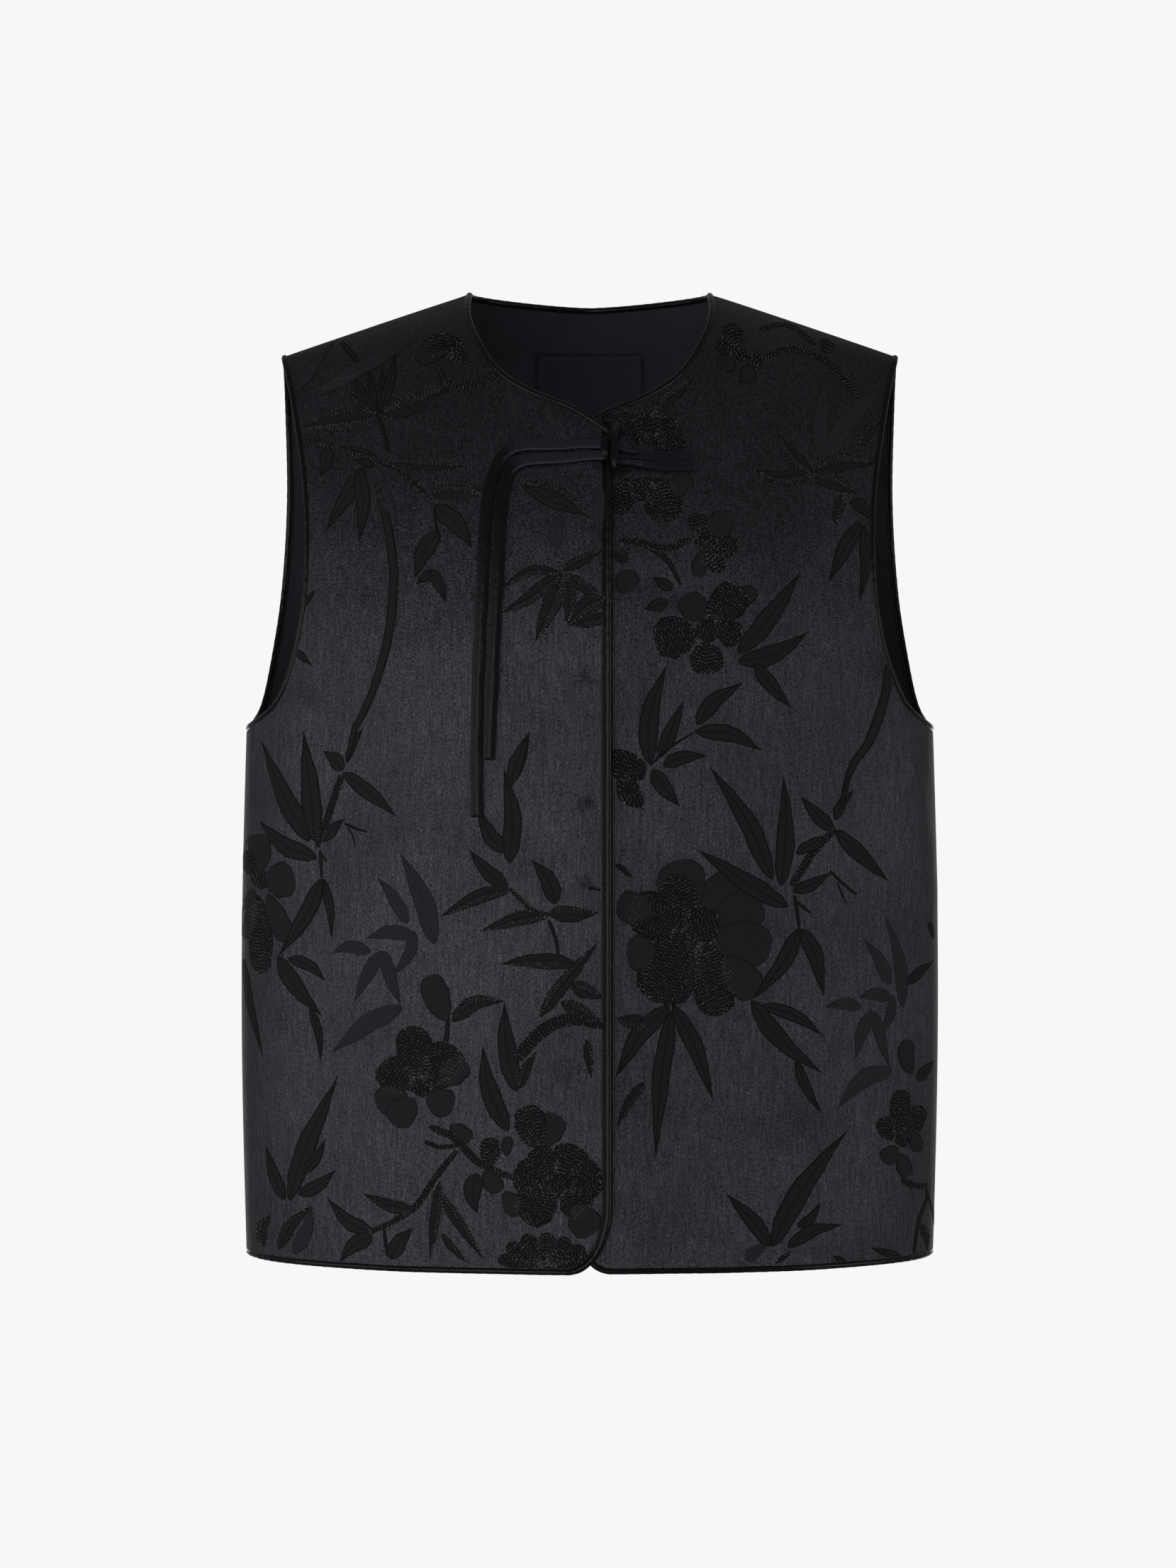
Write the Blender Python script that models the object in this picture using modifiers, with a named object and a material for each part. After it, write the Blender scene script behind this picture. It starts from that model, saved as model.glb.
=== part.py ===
"""A lined, sleeveless waistcoat as it is worn: two fronts that lap at the middle, a back with
its lining, a corded edge all round, and a pair of satin ties in a half bow at the neck.

Metres, +Z up. The front faces -Y and the wearer's left is +X. The origin lies midway between
the two points where neck and shoulder meet, at their height.
"""

import math

import bmesh
import bpy
import numpy as np
from mathutils import Matrix
from mathutils.bvhtree import BVHTree

FRONT, BACK = -1, 1

# Lengths and widths of the finished garment
LENGTH = 0.588
CHEST_HALF = 0.2105
SIDE_SWELL = 0.0030
FRONT_DEPTH = 0.126
BACK_DEPTH = 0.100
NECK_HALF = 0.0752
SHOULDER_HALF = 0.186
SHOULDER_SLOPE = 0.339
SHOULDER_ROUNDING = 0.025
NAPE_BELOW_ORIGIN = 0.0042
NAPE_POWER = 1.3

# Walls, seams and corded edge
FRONT_WALL = 0.0018
BACK_WALL = 0.0012
LINING_WALL = 0.0010
LABEL_WALL = 0.0010
SEAM_GAP = 0.0003
CORD_RADIUS = 0.0020
CORD_SIDES_RESOLUTION = 1
CORD_END_GAP = 0.0004
SHARP_ANGLE = math.radians(40)

# How far the cloth takes to come forward from the shoulder to the bust, and back to the blades
RISE_LENGTH = {FRONT: 0.270, BACK: 0.170}
RISE_POWER = 2.3
DEPTH = {FRONT: FRONT_DEPTH, BACK: BACK_DEPTH}

# The lap of the fronts
LAP_HALF = 0.0094
LAP_RISE = 0.0022
LAP_FULL = 0.026
LAP_REACH = 0.085
CORNER_WIDTH = 0.022
CORNER_HEIGHT = 0.038

HEM_Z = -(LENGTH - 2 * CORD_RADIUS - SEAM_GAP)
UNDERARM_Z = -0.268

# Numbers of cells along the panels, and steps that their curves are worked out in
CORNER_ROWS = 4
SIDE_ROWS = 10
CHEST_ROWS = 6
NECK_ROWS = 8
FRONT_COLUMNS = 14
BACK_ARMHOLE_ROWS = 10
BACK_SIDE_ROWS = 11
BACK_NECK_COLUMNS = 5
BACK_SHOULDER_COLUMNS = 7
FINE_STEPS = 241
SPLINE_STEPS = 24
SLOPE_STEP = 1e-5

# Armhole edge of each panel from the shoulder to the underarm: height, front and back half widths
ARMHOLE = (
    # z, front_x, back_x
    (-0.0700, 0.1780, 0.1862),
    (-0.1250, 0.1695, 0.1864),
    (-0.1800, 0.1690, 0.1900),
    (-0.2220, 0.1760, 0.1960),
    (-0.2520, 0.1875, 0.2023),
)

# Neck edge of a front from the lap up to the shoulder, as points of one smooth curve
NECK_EDGE = (
    # x, z
    (-LAP_HALF, -0.0932), (0.0096, -0.0808), (0.0367, -0.0688), (0.0569, -0.0538),
    (0.0707, -0.0302), (0.0756, -0.0138), (0.0752, 0.0),
)

# Soft folds: a ridge of this height (a trough if negative) and half width between two points
FOLDS = {
    "front_right": (
        # x0, z0, x1, z1, half_width, height
        (-0.176, -0.262, -0.184, -0.420, 0.014, 0.0022),
        (-0.150, -0.250, -0.160, -0.500, 0.016, -0.0014),
        (-0.120, -0.380, -0.110, -0.586, 0.022, 0.0016),
        (-0.062, -0.040, -0.004, -0.096, 0.013, 0.0016),
        (-0.040, -0.430, -0.050, -0.586, 0.018, -0.0014),
    ),
    "front_left": (
        (0.178, -0.248, 0.200, -0.360, 0.013, 0.0030),
        (0.150, -0.270, 0.168, -0.420, 0.016, -0.0016),
        (0.020, -0.500, 0.130, -0.515, 0.020, -0.0024),
        (0.118, -0.330, 0.126, -0.586, 0.020, 0.0018),
        (0.060, -0.400, 0.052, -0.586, 0.020, -0.0014),
    ),
    "back": (
        (-0.140, -0.240, -0.120, -0.586, 0.024, 0.0026),
        (-0.070, -0.300, -0.060, -0.586, 0.022, -0.0018),
        (0.015, -0.260, 0.005, -0.586, 0.026, 0.0024),
        (0.085, -0.310, 0.080, -0.586, 0.022, -0.0018),
        (0.150, -0.240, 0.132, -0.586, 0.024, 0.0024),
        (-0.110, -0.100, 0.110, -0.110, 0.020, 0.0014),
    ),
}
FOLD_SEAM_FADE = 0.030
FOLD_END = 1.5

# Ties, as ribbons that lie on the front
TIE_HALF_WIDTH = 0.0037
TIE_HALF_THICKNESS = 0.0011
TIE_SIDES = 8
TIE_ROUNDNESS = 0.6
TIE_STEP = 0.010
TIE_LIFT = 0.0018
TIE_GATHER = 0.78
GATHER_REACH = 0.030
FOLD_RADIUS = 0.0018
FOLD_STEPS = 5
FOLD_OVER = 0.0037

# Where along Y the rays start that find the faces which ties and label lie on
IN_FRONT = -1.0
INSIDE = 0.0

# The knot that the ties leave
KNOT_X = 0.0137
KNOT_Z = -0.1028
KNOT_LIFT = 0.0056
KNOT_REACH = 0.014
KNOT_HALF_WIDTH = 0.0034
KNOT_HALF_DEPTH = 0.0040
KNOT_HALF_HEIGHT = 0.0096

# Routes of the ties on the front: x and z of each point from the knot on
LONG_TIE = (
    (0.0097, -0.1000), (-0.0130, -0.1012), (-0.0370, -0.1010), (-0.0480, -0.1045),
    (-0.0550, -0.1140), (-0.0590, -0.1290), (-0.0612, -0.1500), (-0.0630, -0.1850),
    (-0.0645, -0.2200), (-0.0658, -0.2560), (-0.0661, -0.2890), (-0.0659, -0.3192),
)
SHORT_TIE = (
    (0.0097, -0.1066), (-0.0130, -0.1088), (-0.0330, -0.1094), (-0.0420, -0.1120),
    (-0.0480, -0.1185), (-0.0508, -0.1300), (-0.0525, -0.1480), (-0.0542, -0.1850),
    (-0.0558, -0.2170), (-0.0576, -0.2560), (-0.0589, -0.2858),
)
LOOP_OUT = ((0.0183, -0.1080), (0.0260, -0.1084), (0.0400, -0.1078), (0.0600, -0.1068))
LOOP_BACK = ((0.0600, -0.1126), (0.0400, -0.1134), (0.0260, -0.1128), (0.0183, -0.1100))
EAR_OUT = ((0.0185, -0.0990), (0.0215, -0.0984), (0.0262, -0.0968))
EAR_BACK = ((0.0262, -0.0998), (0.0215, -0.1008), (0.0185, -0.1012))

LABEL_HALF_WIDTH = 0.033
LABEL_TOP_Z = -0.028
LABEL_HEIGHT = 0.048
LABEL_LIFT = 0.0004
LABEL_COLUMNS = 6
LABEL_ROWS = 3


def smooth_step(t):
    """0 below 0, 1 above 1, and 3t^2 - 2t^3 between."""
    t = np.clip(t, 0.0, 1.0)
    return t * t * (3.0 - 2.0 * t)


def ridge_height(x):
    """Height of the shoulder line over x: a slope that rounds over in the middle of the neck."""
    at_neck = math.hypot(NECK_HALF, SHOULDER_ROUNDING)
    return SHOULDER_SLOPE * (at_neck - np.sqrt(x * x + SHOULDER_ROUNDING**2))


def half_width(z):
    """Half the garment's width at height z: straight sides that swell a little between arm and hem."""
    along = np.clip((z - HEM_Z) / (UNDERARM_Z - HEM_Z), 0.0, 1.0)
    return CHEST_HALF + SIDE_SWELL * np.sin(math.pi * along)


def rise(side, x, z):
    """Square of the share of its full depth that the cloth has reached below the shoulder line."""
    drop = ridge_height(x) - z
    t = np.clip(drop / RISE_LENGTH[side], 0.0, 1.0)
    return 1.0 - (1.0 - t) ** RISE_POWER


def shape(side, x, y, z):
    """Zero on the cloth's outer face, and growing outwards."""
    plan = 1.0 - (x / half_width(z)) ** 2
    return (y / DEPTH[side]) ** 2 - rise(side, x, z) * plan


def bare_point(side, x, z):
    """Point of the smooth outer face over (x, z), as arrays of (x, y, z)."""
    plan = np.clip(1.0 - (x / half_width(z)) ** 2, 0.0, None)
    y = side * DEPTH[side] * np.sqrt(rise(side, x, z) * plan)
    return np.stack([x, y, z], axis=-1)


def outward(side, points):
    """Unit normals of the outer face: the slope of its shape function."""
    step = SLOPE_STEP
    x, y, z = points[..., 0], points[..., 1], points[..., 2]
    slope = np.stack(
        [
            shape(side, x + step, y, z) - shape(side, x - step, y, z),
            shape(side, x, y + step, z) - shape(side, x, y - step, z),
            shape(side, x, y, z + step) - shape(side, x, y, z - step),
        ],
        axis=-1,
    )
    return slope / np.linalg.norm(slope, axis=-1, keepdims=True)


def fold_height(panel, points):
    """Sum of the panel's folds, each a bell across its line that dies away past its ends and at seams."""
    x, y, z = points[..., 0], points[..., 1], points[..., 2]
    total = np.zeros_like(x)
    for x0, z0, x1, z1, width, height in FOLDS[panel]:
        length = math.hypot(x1 - x0, z1 - z0)
        along = ((x - x0) * (x1 - x0) + (z - z0) * (z1 - z0)) / length
        across = ((x - x0) * (z1 - z0) - (z - z0) * (x1 - x0)) / length
        past = np.maximum(np.maximum(-along, along - length), 0.0)
        total += height * np.exp(-(across / width) ** 2 - (past / (FOLD_END * width)) ** 2)
    return total * smooth_step(np.abs(y) / FOLD_SEAM_FADE)


def lap_height(panel, x):
    """The over front stands out near the middle, and the under front sinks in."""
    lift = {"front_right": LAP_RISE, "front_left": -LAP_RISE, "back": 0.0}[panel]
    return lift * smooth_step((LAP_REACH - np.abs(x)) / (LAP_REACH - LAP_FULL))


def cloth(panel, x, z, lift=0.0):
    """Points of a panel's outer face over (x, z), moved out by lift, with their normals."""
    side = BACK if panel == "back" else FRONT
    x, z = np.broadcast_arrays(np.asarray(x, float), np.asarray(z, float))
    points = bare_point(side, x, z)
    normals = outward(side, points)
    height = fold_height(panel, points) + lap_height(panel, x) + lift
    return points + normals * height[..., None], normals


def arc_fractions(points):
    """Share of a polyline's length at each of its points."""
    steps = np.linalg.norm(np.diff(points, axis=0), axis=-1)
    run = np.concatenate([[0.0], np.cumsum(steps)])
    return run / run[-1]


def evenly(points, count):
    """A polyline resampled to count points at equal steps."""
    at = arc_fractions(points)
    wanted = np.linspace(0.0, 1.0, count)
    return np.stack([np.interp(wanted, at, points[:, k]) for k in range(points.shape[1])], axis=-1)


def spline(corners):
    """A smooth curve through the corners (Catmull-Rom), as a dense polyline."""
    corners = np.asarray(corners, float)
    ends = [2 * corners[0] - corners[1], *corners, 2 * corners[-1] - corners[-2]]
    t = np.linspace(0.0, 1.0, SPLINE_STEPS, endpoint=False)[:, None]
    spans = []
    for before, start, stop, after in zip(ends, ends[1:], ends[2:], ends[3:]):
        spans.append(
            0.5 * (2 * start + (stop - before) * t
                   + (2 * before - 5 * start + 4 * stop - after) * t**2
                   + (3 * start - before - 3 * stop + after) * t**3)
        )
    return np.concatenate([*spans, corners[-1:]])


def on_cloth(side, line, count):
    """A dense line of (x, z) resampled to count cells that are equally long on the cloth."""
    at = arc_fractions(bare_point(side, line[:, 0], line[:, 1]))
    wanted = np.linspace(0.0, 1.0, count + 1)
    return np.stack([np.interp(wanted, at, line[:, k]) for k in (0, 1)], axis=-1)


def armhole_edge(side, count):
    """(x, z) along a panel's armhole edge, from the underarm up to the shoulder."""
    column = 1 if side == FRONT else 2
    tip = (SHOULDER_HALF, float(ridge_height(SHOULDER_HALF)))
    corners = [tip, *((row[column], row[0]) for row in ARMHOLE), (CHEST_HALF, UNDERARM_Z)]
    line = spline(corners[::-1])
    line[:, 0] = np.minimum(line[:, 0], half_width(line[:, 1]))
    return on_cloth(side, line, count)


def neck_edge(count):
    """(x, z) along a front's neck edge, from the lap's corner up to the shoulder."""
    line = spline(NECK_EDGE)
    line[-1, 1] = ridge_height(line[-1, 0])
    return on_cloth(FRONT, line, count)


def angle_of(x, z):
    """Angle round the plan ellipse of a point at x."""
    return np.arcsin(np.clip(x / half_width(z), -1.0, 1.0))


def front_row(inner, outer, top_share, fractions):
    """(x, z) of the points of one row of a front, from its middle edge to its side or armhole edge.

    Rows are level below the arm, and run along the shoulder line at the top; top_share blends the two.
    """
    start, stop = angle_of(*inner), angle_of(*outer)
    drops = ridge_height(inner[0]) - inner[1], ridge_height(outer[0]) - outer[1]

    def at(angle):
        share = (angle - start) / (stop - start)
        level = inner[1] + (outer[1] - inner[1]) * share
        x = half_width(level) * np.sin(angle)
        sloped = ridge_height(x) - (drops[0] + (drops[1] - drops[0]) * share)
        return x, (1 - top_share) * level + top_share * sloped

    dense = np.linspace(start, stop, FINE_STEPS)
    run = arc_fractions(bare_point(FRONT, *at(dense)))
    return at(np.interp(fractions, run, dense))


def front_grid():
    """x and z of a left front's points, rows from hem to shoulder, columns from lap to side."""
    turn = np.linspace(0.0, math.pi / 2, CORNER_ROWS + 1)
    corner_x = -LAP_HALF + CORNER_WIDTH * (1 - np.sin(turn))
    corner = np.stack([corner_x, HEM_Z + CORNER_HEIGHT * (1 - np.cos(turn))], axis=-1)
    low = np.linspace(corner[-1], (-LAP_HALF, UNDERARM_Z), SIDE_ROWS + 1)[1:]
    chest = np.linspace(low[-1], NECK_EDGE[0], CHEST_ROWS + 1)[1:]
    inner = np.concatenate([corner, low, chest, neck_edge(NECK_ROWS)[1:]])
    below_arm = inner[: CORNER_ROWS + SIDE_ROWS, 1]
    side_seam = np.stack([half_width(below_arm), below_arm], axis=-1)
    outer = np.concatenate([side_seam, armhole_edge(FRONT, CHEST_ROWS + NECK_ROWS)])
    fractions = np.linspace(0.0, 1.0, FRONT_COLUMNS + 1)
    rows_above = CHEST_ROWS + NECK_ROWS
    rows = []
    for index, (a, b) in enumerate(zip(inner, outer)):
        top_share = smooth_step((index - CORNER_ROWS - SIDE_ROWS) / rows_above)
        rows.append(front_row(a, b, top_share, fractions))
    x = np.array([row[0] for row in rows])
    z = np.array([row[1] for row in rows])
    z[-1] = ridge_height(x[-1])
    return x, z


def back_top(x):
    """Height of the back's top edge over x: the shoulder lines, and a shallow dip between them."""
    share = np.abs(x) / NECK_HALF
    dip = -NAPE_BELOW_ORIGIN * (1.0 - np.minimum(share, 1.0) ** NAPE_POWER)
    return np.where(share < 1.0, dip, ridge_height(x))


def back_grid():
    """x and z of the back's points, rows from hem to neck and shoulders, columns from right to left side."""
    level = np.linspace(HEM_Z, UNDERARM_Z, BACK_SIDE_ROWS + 1)
    side_seam = np.stack([half_width(level), level], axis=-1)
    outer = np.concatenate([side_seam, armhole_edge(BACK, BACK_ARMHOLE_ROWS)[1:]])
    nape = float(back_top(0.0))
    middle = np.concatenate([level, np.linspace(UNDERARM_Z, nape, BACK_ARMHOLE_ROWS + 1)[1:]])

    def row_at(index, angle):
        x_out, z_out = outer[index]
        share = np.abs(angle) / angle_of(x_out, z_out)
        flat = middle[index] + (z_out - middle[index]) * share
        x = half_width(flat) * np.sin(angle)
        drops = nape - middle[index], ridge_height(x_out) - z_out
        sloped = back_top(x) - (drops[0] + (drops[1] - drops[0]) * share)
        top_share = smooth_step((index - BACK_SIDE_ROWS) / BACK_ARMHOLE_ROWS)
        return x, (1 - top_share) * flat + top_share * sloped

    last = len(outer) - 1
    dense = np.linspace(0.0, angle_of(*outer[last]), FINE_STEPS)
    run = arc_fractions(bare_point(BACK, *row_at(last, dense)))
    neck_share = float(np.interp(angle_of(NECK_HALF, 0.0), dense, run))
    half = np.concatenate([
        np.linspace(0.0, neck_share, BACK_NECK_COLUMNS + 1),
        np.linspace(neck_share, 1.0, BACK_SHOULDER_COLUMNS + 1)[1:],
    ])
    fractions = np.concatenate([-half[:0:-1], half])
    rows = []
    for index, edge in enumerate(outer):
        dense = np.linspace(0.0, angle_of(*edge), FINE_STEPS)
        run = arc_fractions(bare_point(BACK, *row_at(index, dense)))
        angle = np.sign(fractions) * np.interp(np.abs(fractions), run, dense)
        rows.append(row_at(index, angle))
    return np.array([row[0] for row in rows]), np.array([row[1] for row in rows])


def part_from_seam(points, side):
    """Moves points back from the seams, which lie in the plane y = 0, by half the seam gap."""
    moved = points.copy()
    limit = SEAM_GAP / 2
    moved[..., 1] = np.maximum(points[..., 1], limit) if side == BACK else np.minimum(points[..., 1], -limit)
    return moved


def mesh_object(name, points, faces, material, collection):
    """A smooth-shaded object from points, faces and one material."""
    mesh = bpy.data.meshes.new(name)
    mesh.from_pydata([tuple(p) for p in points], [], faces)
    mesh.materials.append(material)
    mesh.shade_smooth()
    mesh.set_sharp_from_angle(angle=SHARP_ANGLE)
    made = bpy.data.objects.new(name, mesh)
    collection.objects.link(made)
    return made


def shorter_diagonals(grid):
    """For every cell of a grid of points, whether its rising diagonal is the shorter one."""
    rising = np.linalg.norm(grid[1:, 1:] - grid[:-1, :-1], axis=-1)
    falling = np.linalg.norm(grid[1:, :-1] - grid[:-1, 1:], axis=-1)
    return rising < falling


def layer_faces(index, rising):
    """Triangles of one layer of a wall, each cell cut along its rising or its falling diagonal."""
    a, b, c, d = index[:-1, :-1], index[:-1, 1:], index[1:, 1:], index[1:, :-1]
    one = np.where(rising[..., None], np.stack([a, b, c], -1), np.stack([a, b, d], -1))
    other = np.where(rising[..., None], np.stack([a, c, d], -1), np.stack([b, c, d], -1))
    return np.concatenate([one.reshape(-1, 3), other.reshape(-1, 3)])


def wall(name, outer, inner, rising, material, collection):
    """A closed cloth wall between two grids of points, its rim square to the cloth.

    All layers of one panel share their cuts, so that they keep their distance.
    """
    index = np.arange(outer.shape[0] * outer.shape[1]).reshape(outer.shape[:2])
    rim = np.concatenate([index[0, :-1], index[:-1, -1], index[-1, :0:-1], index[:0:-1, 0]])
    onward = np.roll(rim, -1)
    faces = [
        *layer_faces(index, rising).tolist(),
        *(layer_faces(index, rising)[:, ::-1] + index.size).tolist(),
        *np.stack([rim, rim + index.size, onward + index.size, onward], axis=-1).tolist(),
    ]
    points = np.concatenate([outer.reshape(-1, 3), inner.reshape(-1, 3)])
    return mesh_object(name, points, faces, material, collection)


def panel_walls(finishes, collection):
    """The two fronts, the back and its lining. Returns them, and the mid-wall points that cords follow."""
    made, edges = {}, {}

    def layers(name, panel, side, points, normals, depth, thickness, flip, finish):
        outer = part_from_seam(points - normals * depth, side)[:, ::flip]
        inner = part_from_seam(points - normals * (depth + thickness), side)[:, ::flip]
        rising = shorter_diagonals(points[:, ::flip])
        made[name] = wall(name, outer, inner, rising, finishes[finish], collection)
        edges[panel] = points - normals * (depth + thickness) / 2, normals

    x, z = front_grid()
    for name, way in (("front_left", 1), ("front_right", -1)):
        layers(name, name, FRONT, *cloth(name, way * x, z), 0.0, FRONT_WALL, way, "jacquard")
    points, normals = cloth("back", *back_grid())
    layers("back", "back", BACK, points, normals, 0.0, BACK_WALL, -1, "jacquard")
    inside = BACK_WALL + SEAM_GAP
    layers("back_lining", "back", BACK, points, normals, inside, LINING_WALL, -1, "lining")
    return made, edges


def beside(points, normals, away):
    """Points moved off a panel's edge, in the cloth's plane, so that a cord lies against the edge."""
    along = np.gradient(points, axis=0)
    along /= np.linalg.norm(along, axis=-1, keepdims=True)
    across = np.cross(along, normals)
    across /= np.linalg.norm(across, axis=-1, keepdims=True)
    return points + away * across * (CORD_RADIUS + SEAM_GAP)


def cord(name, path, material, collection, closed=False):
    """A round corded edge along a path."""
    curve = bpy.data.curves.new(name, "CURVE")
    curve.dimensions = "3D"
    curve.bevel_depth = CORD_RADIUS
    curve.bevel_resolution = CORD_SIDES_RESOLUTION
    curve.use_fill_caps = not closed
    line = curve.splines.new("POLY")
    line.points.add(len(path) - 1)
    line.points.foreach_set("co", np.column_stack([path, np.ones(len(path))]).ravel())
    line.use_cyclic_u = closed
    curve.materials.append(material)
    made = bpy.data.objects.new(name, curve)
    collection.objects.link(made)
    return made


def trimmed(path, side):
    """An edge cord's path that stops short of the seams at y = 0, where it meets the next cord."""
    keep = path.copy()
    for end, following in ((0, 1), (-1, -2)):
        along = keep[following] - keep[end]
        keep[end] = keep[end] + along * CORD_END_GAP / np.linalg.norm(along)
    return part_from_seam(keep, side)


def corded_edges(edges, finishes, collection):
    """Cords along the fronts' edges, the back's neck and hem, and round both armholes."""
    finish = finishes["edge_satin"]
    for name, way in (("front_left", 1), ("front_right", -1)):
        mid, normals = edges[name]
        line = np.concatenate([mid[0, ::-1], mid[1:, 0]])
        line_normals = np.concatenate([normals[0, ::-1], normals[1:, 0]])
        cord("edge_" + name, trimmed(beside(line, line_normals, -way), FRONT), finish, collection)
    mid, normals = edges["back"]
    neck = slice(BACK_SHOULDER_COLUMNS, BACK_SHOULDER_COLUMNS + 2 * BACK_NECK_COLUMNS + 1)
    cord("edge_back_neck", trimmed(beside(mid[-1, neck], normals[-1, neck], 1), BACK), finish, collection)
    cord("edge_back_hem", trimmed(beside(mid[0], normals[0], -1), BACK), finish, collection)
    first = CORNER_ROWS + SIDE_ROWS
    for name, front, way, column in (("left", "front_left", 1, -1), ("right", "front_right", -1, 0)):
        up, up_normals = edges[front][0][first:, -1], edges[front][1][first:, -1]
        down = mid[BACK_SIDE_ROWS:, column][::-1]
        down_normals = normals[BACK_SIDE_ROWS:, column][::-1]
        ring = np.concatenate([up[:-1], (up[-1:] + down[:1]) / 2, down[1:-1]])
        ring[0] = (up[0] + down[-1]) / 2
        ring_normals = np.concatenate([up_normals, down_normals[1:-1]])
        around = np.concatenate([ring[-1:], ring, ring[:1]])
        around_normals = np.concatenate([ring_normals[-1:], ring_normals, ring_normals[:1]])
        path = beside(around, around_normals, way)[1:-1]
        cord("edge_armhole_" + name, path, finish, collection, closed=True)


def ribbon(name, path, normals, half_widths, material, collection):
    """A flat, round-edged band lofted along a path, its flat side square to the normals."""
    along = np.gradient(path, axis=0)
    along /= np.linalg.norm(along, axis=-1, keepdims=True)
    across = np.cross(along, normals)
    across /= np.linalg.norm(across, axis=-1, keepdims=True)
    out = np.cross(across, along)
    turn = (np.arange(TIE_SIDES) + 0.5) * 2 * math.pi / TIE_SIDES
    wide = np.sign(np.cos(turn)) * np.abs(np.cos(turn)) ** TIE_ROUNDNESS * half_widths[:, None]
    thick = np.sign(np.sin(turn)) * np.abs(np.sin(turn)) ** TIE_ROUNDNESS * TIE_HALF_THICKNESS
    rings = path[:, None] + across[:, None] * wide[..., None] + out[:, None] * thick[None, :, None]
    index = np.arange(len(path) * TIE_SIDES).reshape(-1, TIE_SIDES)
    behind, ahead = index[:-1], index[1:]
    quads = np.stack([behind, ahead, np.roll(ahead, -1, 1), np.roll(behind, -1, 1)], axis=-1)
    faces = [*quads.reshape(-1, 4).tolist(), index[0].tolist(), index[-1, ::-1].tolist()]
    return mesh_object(name, rings.reshape(-1, 3), faces, material, collection)


def facets(*panels):
    """The flat faces of finished panels, as trees that rays can meet."""
    graph = bpy.context.evaluated_depsgraph_get()
    return [BVHTree.FromObject(panel, graph) for panel in panels]


def laid_on(panel, trees, start_y, x, z, lift):
    """Points over a panel's flat faces, moved off them by lift, with the cloth's smooth normals.

    Each is found by a ray along +Y from start_y, so it meets a front from outside and the back from inside.
    """
    points = []
    for a, b in zip(x, z):
        met = [tree.ray_cast((float(a), start_y, float(b)), (0.0, 1.0, 0.0))[0] for tree in trees]
        points.append(tuple(min((place for place in met if place), key=lambda place: place.y)))
    _, normals = cloth(panel, x, z)
    return np.array(points) + normals * np.broadcast_to(lift, len(points))[:, None], normals


def route_points(route):
    """A route as points at equal steps along one smooth curve."""
    dense = spline(route)
    length = np.linalg.norm(np.diff(dense, axis=0), axis=-1).sum()
    return evenly(dense, max(4, round(length / TIE_STEP) + 1))


def near_knot(x, reach):
    """1 at the knot, and 0 further from it along X than reach."""
    return smooth_step(1.0 - (np.abs(x - KNOT_X) - KNOT_HALF_WIDTH) / reach)


def knot_place():
    """The knot's centre, at the over front's edge, and the direction that it faces."""
    foot, out = cloth("front_right", KNOT_X, KNOT_Z)
    return foot + np.array([0.0, KNOT_LIFT / out[1], 0.0]), out


def strand(name, flat, lift, trees, finishes, collection, turned=None):
    """A tie that leaves the knot's side and comes down onto the front.

    flat is its route, lift its height over the cloth, and turned, if it folds, the angle of its face.
    """
    path, normals = laid_on("front_right", trees, IN_FRONT, flat[:, 0], flat[:, 1], lift)
    centre, out = knot_place()
    beside_knot = centre + (lift - np.mean([np.min(lift), np.max(lift)]))[:, None] * out
    in_knot = beside_knot[:, 1] - (flat[:, 1] - beside_knot[:, 2]) * out[2] / out[1]
    target = np.stack([flat[:, 0], in_knot, flat[:, 1]], axis=-1)
    path += near_knot(flat[:, 0], KNOT_REACH)[:, None] * (target - path)
    if turned is not None:
        sideways = np.array([1.0, 0.0, 0.0])
        normals = normals * np.cos(turned)[:, None] + sideways * np.sin(turned)[:, None]
    widths = TIE_HALF_WIDTH * (1.0 - (1.0 - TIE_GATHER) * near_knot(flat[:, 0], GATHER_REACH))
    return ribbon(name, path, normals, widths, finishes["tie_satin"], collection)


def folded(name, out_route, back_route, trees, finishes, collection):
    """A loop of tie: out over the cloth, round a fold in its thickness, and back beneath itself."""
    out_run, back_run = route_points(out_route), route_points(back_route)
    fold = np.linspace(0.0, math.pi, FOLD_STEPS + 2)[1:-1]
    between = out_run[-1] + (fold / math.pi)[:, None] * (back_run[0] - out_run[-1])
    between[:, 0] += FOLD_RADIUS * np.sin(fold)
    turned = np.concatenate([np.zeros(len(out_run)), fold, np.full(len(back_run), math.pi)])
    lift = TIE_LIFT + FOLD_OVER * (1.0 + np.cos(turned)) / 2
    flat = np.concatenate([out_run, between, back_run])
    return strand(name, flat, lift, trees, finishes, collection, turned)


def knot(finishes, collection):
    """The tight wrap that holds the bow, as a rounded block at the over front's edge."""
    centre, out = knot_place()
    sideways = np.array([1.0, 0.0, 0.0])
    axes = Matrix([sideways, out, np.cross(sideways, out)]).transposed().to_4x4()
    mesh = bpy.data.meshes.new("tie_knot")
    cage = bmesh.new()
    bmesh.ops.create_cube(cage, size=2.0)
    bmesh.ops.scale(cage, vec=(KNOT_HALF_WIDTH, KNOT_HALF_DEPTH, KNOT_HALF_HEIGHT), verts=cage.verts)
    bmesh.ops.subdivide_edges(cage, edges=cage.edges, cuts=1, use_grid_fill=True)
    cage.to_mesh(mesh)
    cage.free()
    mesh.materials.append(finishes["tie_satin"])
    mesh.shade_smooth()
    made = bpy.data.objects.new("tie_knot", mesh)
    made.matrix_world = Matrix.Translation(centre) @ axes
    rounding = made.modifiers.new("rounding", "SUBSURF")
    rounding.levels = rounding.render_levels = 2
    collection.objects.link(made)
    return made


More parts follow.
